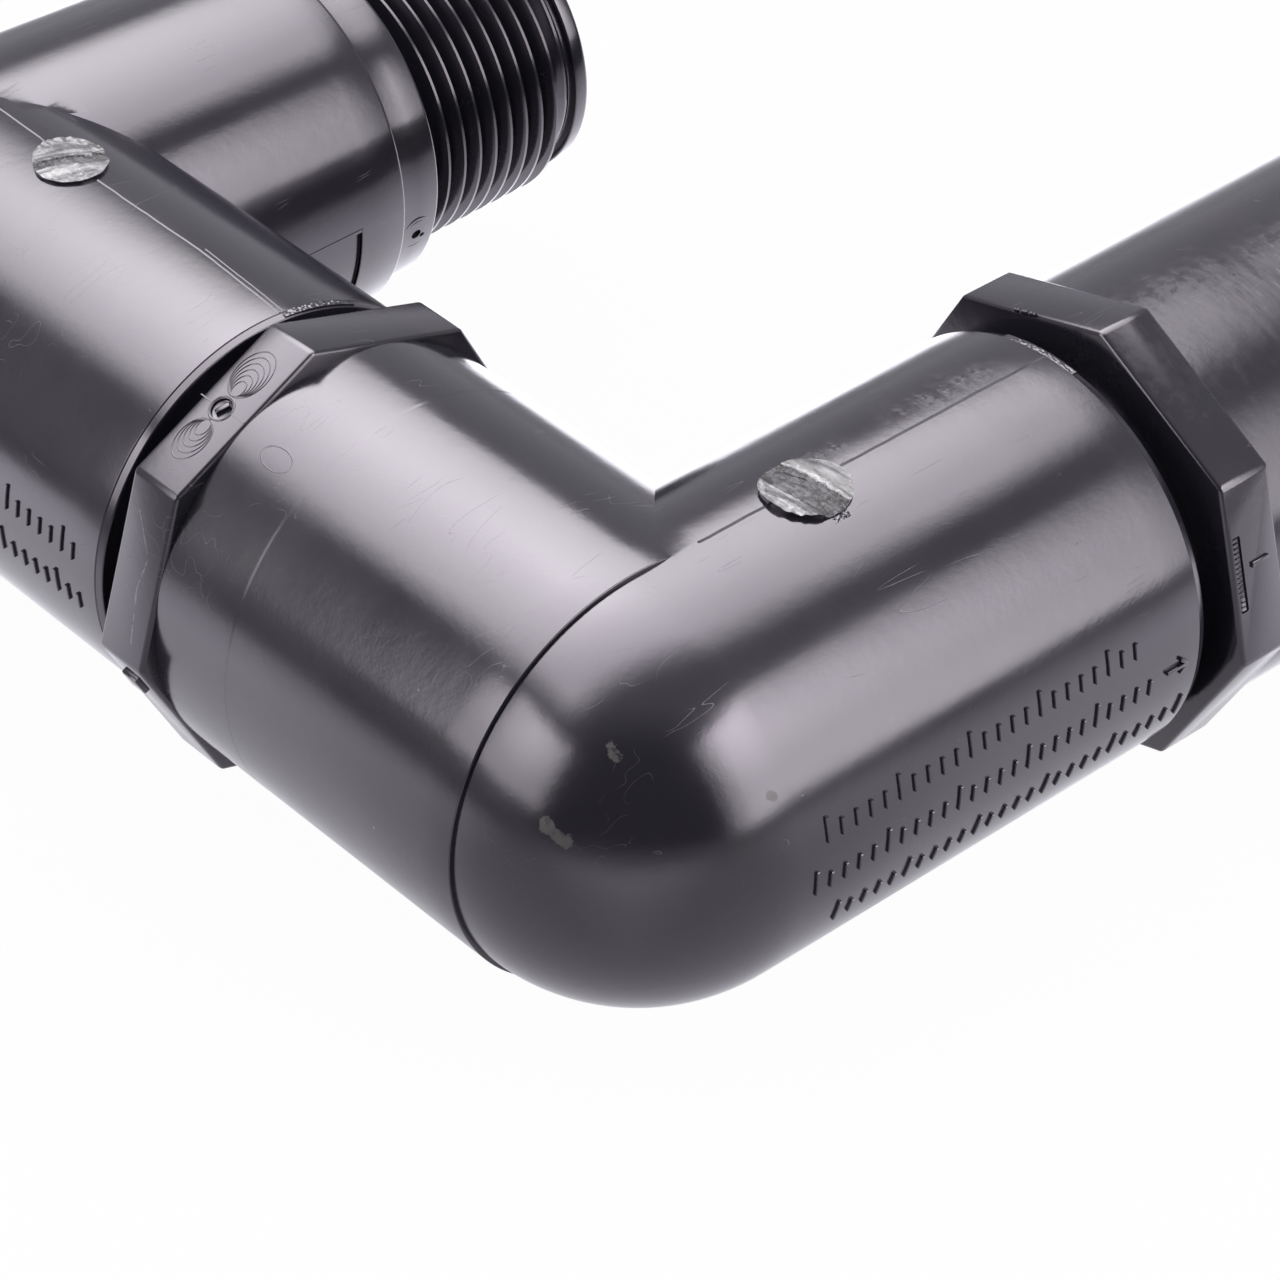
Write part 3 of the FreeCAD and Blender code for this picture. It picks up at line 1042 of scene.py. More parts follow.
@dataclass(frozen=True)
class MouldedPlastic:
    """Glossy charcoal pipe plastic as it leaves the mould, a little scratched and dusty."""

    name: str = PLASTIC_SLOT
    base: tuple[float, float, float, float] = (0.0175, 0.0167, 0.0225, 1.0)
    stain: tuple[float, float, float, float] = (0.0270, 0.0260, 0.0280, 1.0)
    dust: tuple[float, float, float, float] = (0.30, 0.29, 0.30, 1.0)
    sheen_tint: tuple[float, float, float, float] = (0.98, 0.90, 1.0, 1.0)
    roughness: float = 0.16
    index: float = 1.54
    grime: tuple[float, float, float, float] = (0.075, 0.070, 0.062, 1.0)
    peel: float = 0.014
    waves: float = 0.05
    scratches: float = 1.0
    dust_scale: float = 260.0
    dust_size: float = 0.045
    dust_share: float = 0.05

    def make(self, corner: Vector) -> bpy.types.Material:
        """Build the material.

        Args:
            corner: The street elbow's corner, in metres, from which its marks are placed.

        Returns:
            The material.
        """
        material, bench, shader = new_material(self.name)
        place = bench.add("TexCoord").outputs["Object"]
        moulded = {"Vector": place, "Peel": self.peel, "Waves": self.waves, "Scratches": self.scratches}
        skin = bench.group(Group.MOULD_SKIN, moulded)
        specks = {"Scale": self.dust_scale, "Size": self.dust_size, "Share": self.dust_share}
        dust = bench.group(Group.SPECKS, {"Vector": place, **specks})
        blot = bench.ramp(bench.noise(place, 90, 4.0, 0.62), 0.60, 0.72)
        colour = bench.mix(bench.math("MULTIPLY", blot, 0.8), self.base, self.stain)
        colour = bench.mix(bench.math("MULTIPLY", skin.outputs["Scratch"], 0.25), colour, self.dust)
        colour = bench.mix(dust.outputs["Mask"], colour, self.dust)
        scratched = self._marked(bench, place, corner, SCRATCHES)
        smudged = self._marked(bench, place, corner, SMUDGES)
        spun = bench.stretch(place, (0.0, 0.3, 0.35), (7.0, 1.2, 1.2))
        streaks = bench.ramp(bench.noise(spun, 80, 6.0, 0.72), 0.40, 0.60, 0.1, 1.0)
        scuffed = bench.math("MULTIPLY", self._marked(bench, place, corner, DULL_PATCHES), streaks)
        colour = bench.mix(bench.math("MULTIPLY", scuffed, 0.12), colour, self.dust)
        colour = bench.mix(bench.math("MULTIPLY", smudged, 0.8), colour, self.grime)
        colour = bench.mix(bench.math("MULTIPLY", scratched, 0.75), colour, self.dust)
        bench.tree.links.new(colour, shader.inputs["Base Color"])
        clouds = bench.noise(place, 30, 5.0, 0.6)
        haze = bench.ramp(clouds, 0.35, 0.7, self.roughness - 0.05, self.roughness + 0.08)
        rough = bench.math("ADD", haze, bench.math("MULTIPLY", skin.outputs["Scratch"], 0.2))
        rough = bench.math("ADD", rough, bench.math("MULTIPLY", scuffed, 0.16))
        rough = bench.math("ADD", rough, bench.math("MULTIPLY", smudged, 0.25))
        bench.tree.links.new(rough, shader.inputs["Roughness"])
        bump = bench.add("Bump", {"Strength": 1.0, "Distance": MM, "Height": skin.outputs["Height"]})
        bench.tree.links.new(bump.outputs[0], shader.inputs["Normal"])
        shader.inputs["IOR"].default_value = self.index
        shader.inputs["Specular Tint"].default_value = self.sheen_tint
        return material

    @staticmethod
    def _marked(
        bench: NodeBench, place: bpy.types.NodeSocket, corner: Vector, marks: tuple[Mark, ...]
    ) -> bpy.types.NodeSocket:
        """The mask of several marks together."""
        masks = [mark.mask(bench, place, corner) for mark in marks]
        whole = masks[0]
        for mask in masks[1:]:
            whole = bench.math("MAXIMUM", whole, mask)
        return whole


@dataclass(frozen=True)
class TornPlastic:
    """Plastic where a gate was torn off and turned white by the strain. Its pale colour is partly painted
    light: painted glints in the torn band and a painted highlight on the threaded elbows' pale fold.
    """

    name: str
    pale: tuple[float, float, float, float]
    dark: tuple[float, float, float, float]
    roughness: float
    fibres: float
    grain: float = 1500.0
    shine: float = 0.5

    def make(self) -> bpy.types.Material:
        """Build the material.

        Returns:
            The material.
        """
        material, bench, shader = new_material(self.name)
        place = bench.add("TexCoord").outputs["Object"]
        grain = bench.noise(place, self.grain, 4.0, 0.7)
        fibre = bench.noise(bench.stretch(place, (0.0, 0.0, 0.15), (4.0, 1.0, 1.0)), 500, 4.0, 0.7)
        share = bench.ramp(bench.math("ADD", grain, fibre), 0.90, 1.13)
        bench.tree.links.new(bench.mix(share, self.dark, self.pale), shader.inputs["Base Color"])
        height = {"Strength": 1.0, "Distance": self.fibres * MM, "Height": fibre}
        bench.tree.links.new(bench.add("Bump", height).outputs[0], shader.inputs["Normal"])
        shader.inputs["Roughness"].default_value = self.roughness
        shader.inputs["Specular IOR Level"].default_value = self.shine
        return material


@dataclass(frozen=True)
class Finishes:
    """The materials of the moulded fittings."""

    plastic: bpy.types.Material
    strained: bpy.types.Material
    torn: bpy.types.Material
    whitened_and_highlit: bpy.types.Material

    @classmethod
    def make(cls, corner: Vector) -> Finishes:
        """Build all of them.

        Args:
            corner: The street elbow's corner, in metres.

        Returns:
            The finishes.
        """
        strained = TornPlastic(
            "strained_plastic",
            pale=(0.36, 0.34, 0.36, 1.0),
            dark=(0.10, 0.095, 0.105, 1.0),
            roughness=0.3,
            fibres=0.03,
            grain=500.0,
        )
        # Partly painted glints: the pale speckle of the torn band stands in for the spots where its rough
        # surface glints, besides pale torn grain, and its shine is kept low.
        torn = TornPlastic(
            "torn_plastic",
            pale=(0.30, 0.28, 0.30, 1.0),
            dark=(0.010, 0.009, 0.011, 1.0),
            roughness=0.4,
            fibres=0.16,
            grain=2400.0,
            shine=0.2,
        )
        # Turned white by strain, and partly a painted highlight where it stands for the lit fold on the
        # threaded elbows' gates.
        whitened_and_highlit = TornPlastic(
            "whitened_plastic",
            pale=(0.82, 0.78, 0.80, 1.0),
            dark=(0.40, 0.38, 0.40, 1.0),
            roughness=0.3,
            fibres=0.06,
        )
        return cls(MouldedPlastic().make(corner), strained.make(), torn.make(), whitened_and_highlit.make())


@dataclass(frozen=True)
class SealRubber:
    """Matt black rubber with a trace of grease."""

    name: str = "seal_rubber"
    colour: tuple[float, float, float, float] = (0.012, 0.012, 0.013, 1.0)

    def make(self) -> bpy.types.Material:
        """Build the material.

        Returns:
            The material.
        """
        material, bench, shader = new_material(self.name)
        place = bench.add("TexCoord").outputs["Object"]
        film = bench.noise(place, 150, 3.0)
        bench.tree.links.new(bench.ramp(film, 0.35, 0.7, 0.38, 0.62), shader.inputs["Roughness"])
        lighter = tuple(2 * part for part in self.colour[:3]) + (1.0,)
        bench.tree.links.new(bench.mix(film, self.colour, lighter), shader.inputs["Base Color"])
        bump = bench.add("Bump", {"Strength": 0.6, "Distance": 0.02 * MM, "Height": bench.noise(place, 1400)})
        bench.tree.links.new(bump.outputs[0], shader.inputs["Normal"])
        return material


def new_material(name: str) -> tuple[bpy.types.Material, NodeBench, bpy.types.Node]:
    """Start a material with one Principled shader.

    Args:
        name: The material's name.

    Returns:
        The material, a bench on its nodes and the shader node.
    """
    material = bpy.data.materials.new(name)
    material.use_nodes = True
    shader = next(node for node in material.node_tree.nodes if node.type == "BSDF_PRINCIPLED")
    return material, NodeBench(material.node_tree), shader


@dataclass(frozen=True)
class Fitting:
    """What every moulded fitting has: shared sizes, a finish and a place in the assembly."""

    body: str
    place: Matrix
    finishes: Finishes
    sizes: SwivelSizes = SwivelSizes()

    def fit(self, piece: bpy.types.Object, name: str, materials: list[bpy.types.Material]) -> None:
        """Set a finished piece in its place and make it ride.

        Args:
            piece: The piece, in the fitting's own frame.
            name: Its name.
            materials: Its finishes, in the order that its faces number them.
        """
        piece.name = name
        piece.data.name = name
        piece.matrix_world = self.place @ piece.matrix_world
        settle(piece)
        numbers = [face.material_index for face in piece.data.polygons]
        piece.data.materials.clear()
        for material in materials:
            piece.data.materials.append(material)
        for face, number in zip(piece.data.polygons, numbers):
            face.material_index = min(number, len(materials) - 1)
        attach(piece, self.body)
        log.info("%s: %d faces", name, len(piece.data.polygons))

    def fit_gate(self, gate: TornGate) -> None:
        """Put the torn stub of the moulding gate on the socket.

        Args:
            gate: The stub.
        """
        finishes = self.finishes
        stub = gate.make(self.sizes.socket_radius)
        materials = [finishes.plastic, finishes.strained, finishes.torn, finishes.whitened_and_highlit]
        self.fit(stub, self.body + "_gate", materials)

    def marks(self, rows: tuple[TickRow, ...]) -> list[bpy.types.Object]:
        """Raised plain ticks on the socket."""
        return [tick for row in rows for tick in row.make(self.sizes.socket_radius)]


@dataclass(frozen=True)
class TickRow:
    """A row of plain raised ticks along a socket, the first of each group longer."""

    start: float
    end: float
    low: float
    pitch: float = 1.75
    long: float = 2.7
    short: float = 1.8
    width: float = 0.42
    height: float = 0.26
    group: int = 5
    root: float = 0.2
    bevel: float = 0.08

    def make(self, radius: float) -> list[bpy.types.Object]:
        """Model the ticks.

        Args:
            radius: The socket's radius.

        Returns:
            The ticks.
        """
        count = int((self.end - self.start) / self.pitch) + 1
        ticks: list[bpy.types.Object] = []
        for length, chosen in ((self.long, True), (self.short, False)):
            places = [index for index in range(count) if (index % self.group == 0) is chosen]
            first = places[0] * self.pitch + self.start
            block = self._tick(first, length, radius)
            moves = [Vector(((index - places[0]) * self.pitch, 0, 0)) for index in places[1:]]
            ticks += repeat(block, moves)
        return ticks

    def _tick(self, start: float, length: float, radius: float) -> bpy.types.Object:
        """One tick, with bevelled edges."""
        top = radius + self.height
        turn = math.degrees(length / radius)

        def surface(share: float, across: float) -> tuple[float, float, float]:
            return start + self.width * share, self.low + turn * across, top

        tick = curved_block("tick", Axis.X, (1, 3), surface, self.height + self.root)
        round_edges(tick, self.bevel, 1)
        return tick


@dataclass(frozen=True)
class TornGate:
    """The round stub of a moulding gate, torn off in a band across it. X is along the socket."""

    middle: tuple[float, float]
    band: tuple[float, float] = (-1.87, 1.3)
    slant: float = -0.1
    pale: tuple[tuple[float, float], ...] = ((-3.7, 0.75), (1.5, 0.16))
    depth: float = 0.2
    slit: tuple[tuple[float, float], tuple[float, float]] = ((-0.2, 3.5), (0.75, 0.76))
    slit_depth: float = 0.7
    lip: float = 0.25
    squash: float = 1.0
    squash_turn: float = 0.0
    radius: float = 4.3
    rise: float = 0.32
    follow: float = 0.85
    root: float = 20.7
    undercut: float = 0.94
    steps: int = 96
    seed: float = 3.0
    raggedness: float = 0.03
    band_edge: float = 0.22
    rim_start: float = 0.74
    slit_half_width: float = 0.28

    def make(self, socket_radius: float) -> bpy.types.Object:
        """Model the stub.

        Args:
            socket_radius: Radius of the socket that it stands on.

        Returns:
            The stub as a closed block, its wall, smooth tops, torn band and white-strained edges numbered 0
            to 3; the pale edges are partly painted highlight where they stand for a lit fold.
        """
        deselect()
        bpy.ops.mesh.primitive_grid_add(x_subdivisions=self.steps, y_subdivisions=self.steps, size=2)
        stub = bpy.context.object
        turn = math.radians(self.squash_turn)
        short = Vector((math.cos(turn), math.sin(turn)))
        for point in stub.data.vertices:
            x = point.co.x * math.sqrt(1 - point.co.y**2 / 2)
            y = point.co.y * math.sqrt(1 - point.co.x**2 / 2)
            wave = noise.noise(Vector((2.5 * x, 2.5 * y, self.seed)))
            flat = Vector((x, y)) * (self.radius * (1 + self.raggedness * wave))
            flat -= short * flat.dot(short) * (1 - self.squash)
            across = flat.y + self.middle[1]
            fall = socket_radius - math.sqrt(socket_radius**2 - across**2)
            top = socket_radius + self.rise - self.follow * fall
            point.co = Vector((*flat, top + self._height(*flat))) * MM
        bpy.ops.object.mode_set(mode="EDIT")
        bpy.ops.mesh.select_all(action="SELECT")
        bpy.ops.mesh.extrude_region_move()
        bpy.ops.transform.resize(
            value=(self.undercut, self.undercut, 0), center_override=(0, 0, self.root * MM)
        )
        bpy.ops.object.mode_set(mode="OBJECT")
        face_outwards(stub)
        for face in stub.data.polygons:
            face.material_index = self._finish(face)
        smooth(stub, 40)
        stub.matrix_world = Matrix.Translation(Vector((*self.middle, 0)) * MM)
        settle(stub)
        return stub

    def _across(self, x: float, y: float) -> float:
        """Place across the torn band, from its left to its right."""
        return x - self.slant * y

    def _inside(self, x: float, y: float) -> float:
        """How far inside the torn band a point lies."""
        across = self._across(x, y) + 0.12 * noise.noise(Vector((x * 1.5, y * 1.5, self.seed)))
        return min(across - self.band[0], self.band[1] - across)

    def _height(self, x: float, y: float) -> float:
        """Height of the torn top over its plane."""
        share = min(max(self._inside(x, y) / self.band_edge + 0.5, 0.0), 1.0)
        rough = noise.fractal(Vector((x * 2.2, y * 0.9, self.seed)), 0.7, 2.3, 6)
        slow = noise.noise(Vector((self._across(x, y) * 1.1, y * 0.25, self.seed + 7)))
        height = 0.12 * slow - self.depth * share + rough * (0.012 + 0.06 * share)
        rim = max(0.0, math.hypot(x, y) / self.radius - self.rim_start) / (1 - self.rim_start)
        if self._across(x, y) < self.band[0]:
            height += self.lip * rim * (0.7 + 0.8 * noise.noise(Vector((x, y, self.seed)) * 1.7))
        start, end = (Vector(point) for point in self.slit)
        stroke = end - start
        here = Vector((x, y)) - start
        share = min(max(here.dot(stroke) / stroke.dot(stroke), 0.0), 1.0)
        away = (here - stroke * share).length
        half_width = self.slit_half_width * (1.1 - share)
        return height - self.slit_depth * max(0.0, 1 - away / half_width)

    def _finish(self, face: bpy.types.MeshPolygon) -> int:
        """The number of a face's finish."""
        middle = face.center / MM
        if face.normal.z < 0.2 or middle.z < self.root + 0.1:
            return 0
        if self._inside(middle.x, middle.y) > 0:
            return 2
        across = self._across(middle.x, middle.y) + 0.5 * noise.noise(middle * 1.5)
        # Pale bands take the white-strained finish, which is partly painted highlight.
        return 3 if any(abs(across - centre) < half for centre, half in self.pale) else 1


@dataclass(frozen=True)
class StreetElbow(Fitting):
    """Elbow with a socket along X and a collared spigot along Y. The mouth flash is placed from the mouth."""

    reach: float = 51.0
    arm_length: float = 42.1
    collar_turn: float = -5.4
    gap: float = 3.1
    band_start: float = 31.5
    band_step: float = 0.015
    tick_rows: tuple[TickRow, ...] = (
        TickRow(3.0, 42.0, -82.0),
        TickRow(1.5, 44.0, -95.5),
        TickRow(5.0, 49.0, -111.0),
    )
    gate: TornGate = TornGate((19.5, -0.4))
    gate_flash: tuple[float, float] = (-1.2, 1.2)
    gate_flash_turns: tuple[float, float] = (-14.5, -11.4)
    mouth_flash: tuple[float, float] = (1.0, 0.15)
    mouth_flash_turns: tuple[float, float] = (-9.0, 15.0)
    line_start: float = 7.0
    line_short: float = 0.9
    arrow_spot: tuple[float, float] = (47.0, -91.5)
    stroke: tuple[float, float] = (0.42, 0.7)
    shaft_length: float = 2.6
    tip_length: float = 1.3
    tip_turn: float = 40.0
    pit: tuple[float, float] = (1.15, 0.8)
    pit_shift: float = 0.3
    first_ripple: float = 0.9
    ripple_step: float = 0.36
    ripple_squash: float = 0.74

    def build(self) -> bpy.types.Object:
        """Model the elbow.

        Returns:
            The elbow in its place.
        """
        sizes = self.sizes
        face = self.arm_length + sizes.collar_thickness
        elbow = sizes.socket(self.reach)
        low = sizes.arm_radius - self.band_step
        arm = [
            Corner(0, 0),
            Corner(0, low, 0.12),
            Corner(self.band_start, low, 0.3),
            Corner(self.band_start + 0.3, sizes.arm_radius, 0.3),
            Corner(face - sizes.collar_thickness / 2, sizes.arm_radius),
            *sizes.spigot(face, 1),
        ]
        combine(elbow, Lathe(Axis.Y).turn("arm", arm), Operation.UNITE)
        combine(elbow, sizes.collar(face, 1, self.collar_turn, Axis.Y), Operation.UNITE)
        combine(elbow, sizes.socket_bore(self.reach, self.gap), Operation.CUT)
        tip = face + sizes.spigot_length
        combine(elbow, sizes.waterway(sizes.waterway_radius, 0, tip + 1, Axis.Y), Operation.CUT)
        details = [sizes.thread(face, 1, Axis.Y), *self.marks(self.tick_rows), *self._arrow(), *self._flash()]
        details += self._collar_pit(elbow, face - sizes.collar_thickness / 2)
        merge_objects(elbow, details)
        smooth(elbow)
        self.fit(elbow, "street_elbow_skin", [self.finishes.plastic])
        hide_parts("street_elbow")
        self.fit_gate(self.gate)
        return elbow

    def _arrow(self) -> list[bpy.types.Object]:
        """A plain raised arrow near the mouth, pointing along the socket."""
        place = Axis.X.flat(*self.arrow_spot, self.sizes.socket_radius)
        bevel = 0.08
        arrow = [bar(place, (self.shaft_length, *self.stroke), rounding=bevel)]
        for side in (-1, 1):
            middle = (0.95, side * self.stroke[0], 0)
            arrow.append(bar(place, (self.tip_length, *self.stroke), middle, -side * self.tip_turn, bevel))
        return arrow

    def _flash(self) -> list[bpy.types.Object]:
        """The parting line on the socket and torn flash at its mouth and beside the gate."""
        radius = self.sizes.socket_radius
        path = [(self.line_start, 0.0), (self.reach - self.line_short, 0.0)]
        line = bead("parting_line", Axis.X, path, radius, 0.5, 0.09)
        rim_place = (self.reach - self.mouth_flash[0], self.reach - self.mouth_flash[1])
        rim = torn_strip(Axis.X, rim_place, self.mouth_flash_turns, radius - 0.05, 0.11)
        middle = self.gate.middle[0]
        along = (middle + self.gate_flash[0], middle + self.gate_flash[1])
        beside = torn_strip(Axis.X, along, self.gate_flash_turns, radius, 0.2)
        return [line, rim, beside]

    def _collar_pit(self, elbow: bpy.types.Object, middle: float) -> list[bpy.types.Object]:
        """The pit of a torn gate on the collar's upper left flat, with ripples round it, and a small lug.

        Args:
            elbow: The elbow, which the pit is cut into.
            middle: The middle of the collar along the arm.

        Returns:
            The raised parts.
        """
        half = self.sizes.collar_flats / 2
        upper = Axis.Y.flat(middle + self.pit_shift, self.collar_turn - 22.5, half)
        combine(elbow, stud(upper, *self.pit), Operation.CUT)
        lower = Axis.Y.flat(middle, self.collar_turn - 112.5, half)
        raised = [
            bar(lower, (2.2, 2.4, 1.1), (-0.4, 5.9, 0.0), rounding=0.2),
            ripple(upper, 1.3, (0, 0, -0.02), thickness=0.1),
            bar(upper, (0.5, 1.5, 0.7), (0.15, 0.1, -0.4), 25, 0.1),
            ripple(Axis.Y.flat(36.8, -30.0, self.sizes.arm_radius), 1.15, (0, 0, -0.05), 1.7, 0.07),
            bar(upper, (1.9, 0.12, 0.1), (2.1, 0, 0)),
            bar(upper, (2.0, 0.12, 0.1), (-2.2, 0.1, 0)),
        ]
        for side, count in ((1, 6), (-1, 5)):
            for step in range(count):
                size = self.first_ripple + self.ripple_step * step
                spot = (0.1, side * (1.5 + size), -0.03)
                raised.append(ripple(upper, size, spot, self.ripple_squash, 0.08))
        return raised


@dataclass(frozen=True)
class ThreadedElbow(Fitting):
    """Elbow with a socket along X and a male pipe thread along Y. Mouth flash is placed from the mouth."""

    reach: float = 53.1
    body_length: float = 42.4
    body_end_radius: float = 20.3
    ring_length: float = 5.4
    ring_radius: float = 19.1
    thread_length: float = 22.4
    thread_radius: float = 16.95
    thread_depth: float = 1.6
    thread_taper: float = 0.03125
    pitch: float = 25.4 / 11.5
    nose_length: float = 1.9
    nose_radius: float = 15.3
    nose_bevel: float = 0.6
    bore_radius: float = 12.2
    gap: float = 2.65
    tick_rows: tuple[TickRow, ...] = (TickRow(38.0, 50.0, -84.0), TickRow(37.0, 50.0, -98.0))
    parting: tuple[tuple[float, float], ...] = (
        (5.6, 3.0),
        (12.0, 2.8),
        (18.0, 2.4),
        (39.0, 2.4),
        (45.5, 2.0),
        (52.2, 1.5),
    )
    second_line: float = 0.55
    mouth_flash: tuple[float, float] = (1.1, 0.15)
    mouth_flash_turns: tuple[float, float] = (4.5, 27.0)
    pit_spot: tuple[float, float] = (45.2, 107.4)
    pit_ripples: tuple[float, ...] = (1.1, 1.6, 2.1)
    gate: TornGate = TornGate(
        (18.3, 2.4),
        band=(-0.75, 0.45),
        slant=0.25,
        # The pale band at 2.1 is partly a painted highlight: it stands for the lit crest of a raised fold
        # beside the torn band, as well as white strain.
        pale=((2.1, 0.8), (3.9, 0.3)),
        depth=0.26,
        slit=((-0.1, 2.6), (-0.45, 0.4)),
        slit_depth=0.25,
        squash=0.86,
        squash_turn=48.0,
        seed=11.0,
    )
    recess: tuple[float, float] = (24.0, 36.2)
    recess_turns: tuple[float, float] = (91.0, 125.0)
    recess_depth: float = 0.3
    rim_width: float = 0.4
    rim_height: float = 0.1
    crest_width: float = 0.3

    def build(self) -> bpy.types.Object:
        """Model the elbow.

        Returns:
            The elbow in its place.
        """
        sizes = self.sizes
        elbow = sizes.socket(self.reach)
        ring_end = self.body_length + self.ring_length
        thread_end = ring_end + self.thread_length
        tip = thread_end + self.nose_length
        root = self.thread_radius - self.thread_depth
        arm = [
            Corner(0, 0),
            Corner(0, sizes.socket_radius),
            Corner(self.body_length, self.body_end_radius, 0.5),
            Corner(self.body_length, self.ring_radius, 0.3),
            Corner(ring_end, self.ring_radius, 0.4),
            Corner(ring_end, root),
            Corner(thread_end, root - self.thread_length * self.thread_taper),
            Corner(thread_end, self.nose_radius, 0.2),
            Corner(tip, self.nose_radius, self.nose_bevel),
            Corner(tip, 0),
        ]
        combine(elbow, Lathe(Axis.Y).turn("arm", arm), Operation.UNITE)
        combine(elbow, sizes.socket_bore(self.reach, self.gap), Operation.CUT)
        combine(elbow, sizes.waterway(self.bore_radius, 0, tip + 1, Axis.Y), Operation.CUT)
        combine(elbow, self._recess(), Operation.CUT)
        details = [*self.marks(self.tick_rows), *self._flash(), *self._ring_pit(elbow), *self._recess_rim()]
        turns = (self.thread_length - self.pitch) / self.pitch
        ridge = Helix(
            pitch=self.pitch,
            turns=turns,
            root_radius=root,
            crest_radius=self.thread_radius,
            root_width=self.pitch,
            crest_width=self.crest_width,
            taper=self.thread_taper,
            steps_per_turn=96,
            sunk=0.4,
        )
        details.append(ridge.make("pipe_thread", Axis.Y, ring_end + self.pitch / 2))
        merge_objects(elbow, details)
        smooth(elbow)
        self.fit(elbow, self.body + "_skin", [self.finishes.plastic])
        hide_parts(self.body)
        self.fit_gate(self.gate)
        return elbow

    def _side(self, along: float) -> float:
        """Radius of the tapered arm at a place along it."""
        fall = (self.sizes.socket_radius - self.body_end_radius) / self.body_length
        return self.sizes.socket_radius - fall * along

    def _recess(self) -> bpy.types.Object:
        """The shallow recess in the side of the arm, as the solid to cut away."""
        (left, right), (top, bottom) = self.recess, self.recess_turns

        def surface(share: float, turn: float) -> tuple[float, float, float]:
            along = left + (right - left) * share
            depth = self.recess_depth * (1.3 - 0.5 * turn)
            return along, top + (bottom - top) * turn, self._side(along) - depth

        return curved_block("recess", Axis.Y, (4, 24), surface, -2.0)

    def _recess_rim(self) -> list[bpy.types.Object]:
        """The raised rim at the recess's right and upper edges."""
        (left, right), (top, bottom) = self.recess, self.recess_turns
        turn = math.degrees(0.35 / self.sizes.socket_radius)
        beside = ((right, right + self.rim_width), (top - turn, bottom))
        above = ((left, right), (top - turn, top))
        rims: list[bpy.types.Object] = []
        for (start, end), (high, low) in (beside, above):

            def surface(share: float, across: float) -> tuple[float, float, float]:
                along = start + (end - start) * share
                return along, high + (low - high) * across, self._side(along) + self.rim_height

            rim = curved_block("recess_rim", Axis.Y, (2, 16), surface, 0.4)
            round_edges(rim, 0.06, 1)
            rims.append(rim)
        return rims

    def _flash(self) -> list[bpy.types.Object]:
        """The parting line on the socket and torn flash at its mouth."""
        radius = self.sizes.socket_radius
        line = bead("parting_line", Axis.X, list(self.parting), radius, 0.4, 0.08)
        beside = [(along, offset + self.second_line) for along, offset in self.parting[3:]]
        second = bead("second_line", Axis.X, beside, radius, 0.3, 0.06)
        rim_place = (self.reach - self.mouth_flash[0], self.reach - self.mouth_flash[1])
        rim = torn_strip(Axis.X, rim_place, self.mouth_flash_turns, radius - 0.05, 0.12)
        return [line, second, rim]

    def _ring_pit(self, elbow: bpy.types.Object) -> list[bpy.types.Object]:
        """The pit of a torn gate in the plain ring.

        Args:
            elbow: The elbow, which the pit is cut into.

        Returns:
            The ripples round it.
        """
        place = Axis.Y.flat(*self.pit_spot, self.ring_radius)
        combine(elbow, stud(place, 0.6, 1.0), Operation.CUT)
        combine(elbow, stud(place, 0.3, 0.7, (0.9, 0.5, 0)), Operation.CUT)
        return [ripple(place, size, (-0.1, -0.3, -0.1), 0.9) for size in self.pit_ripples]


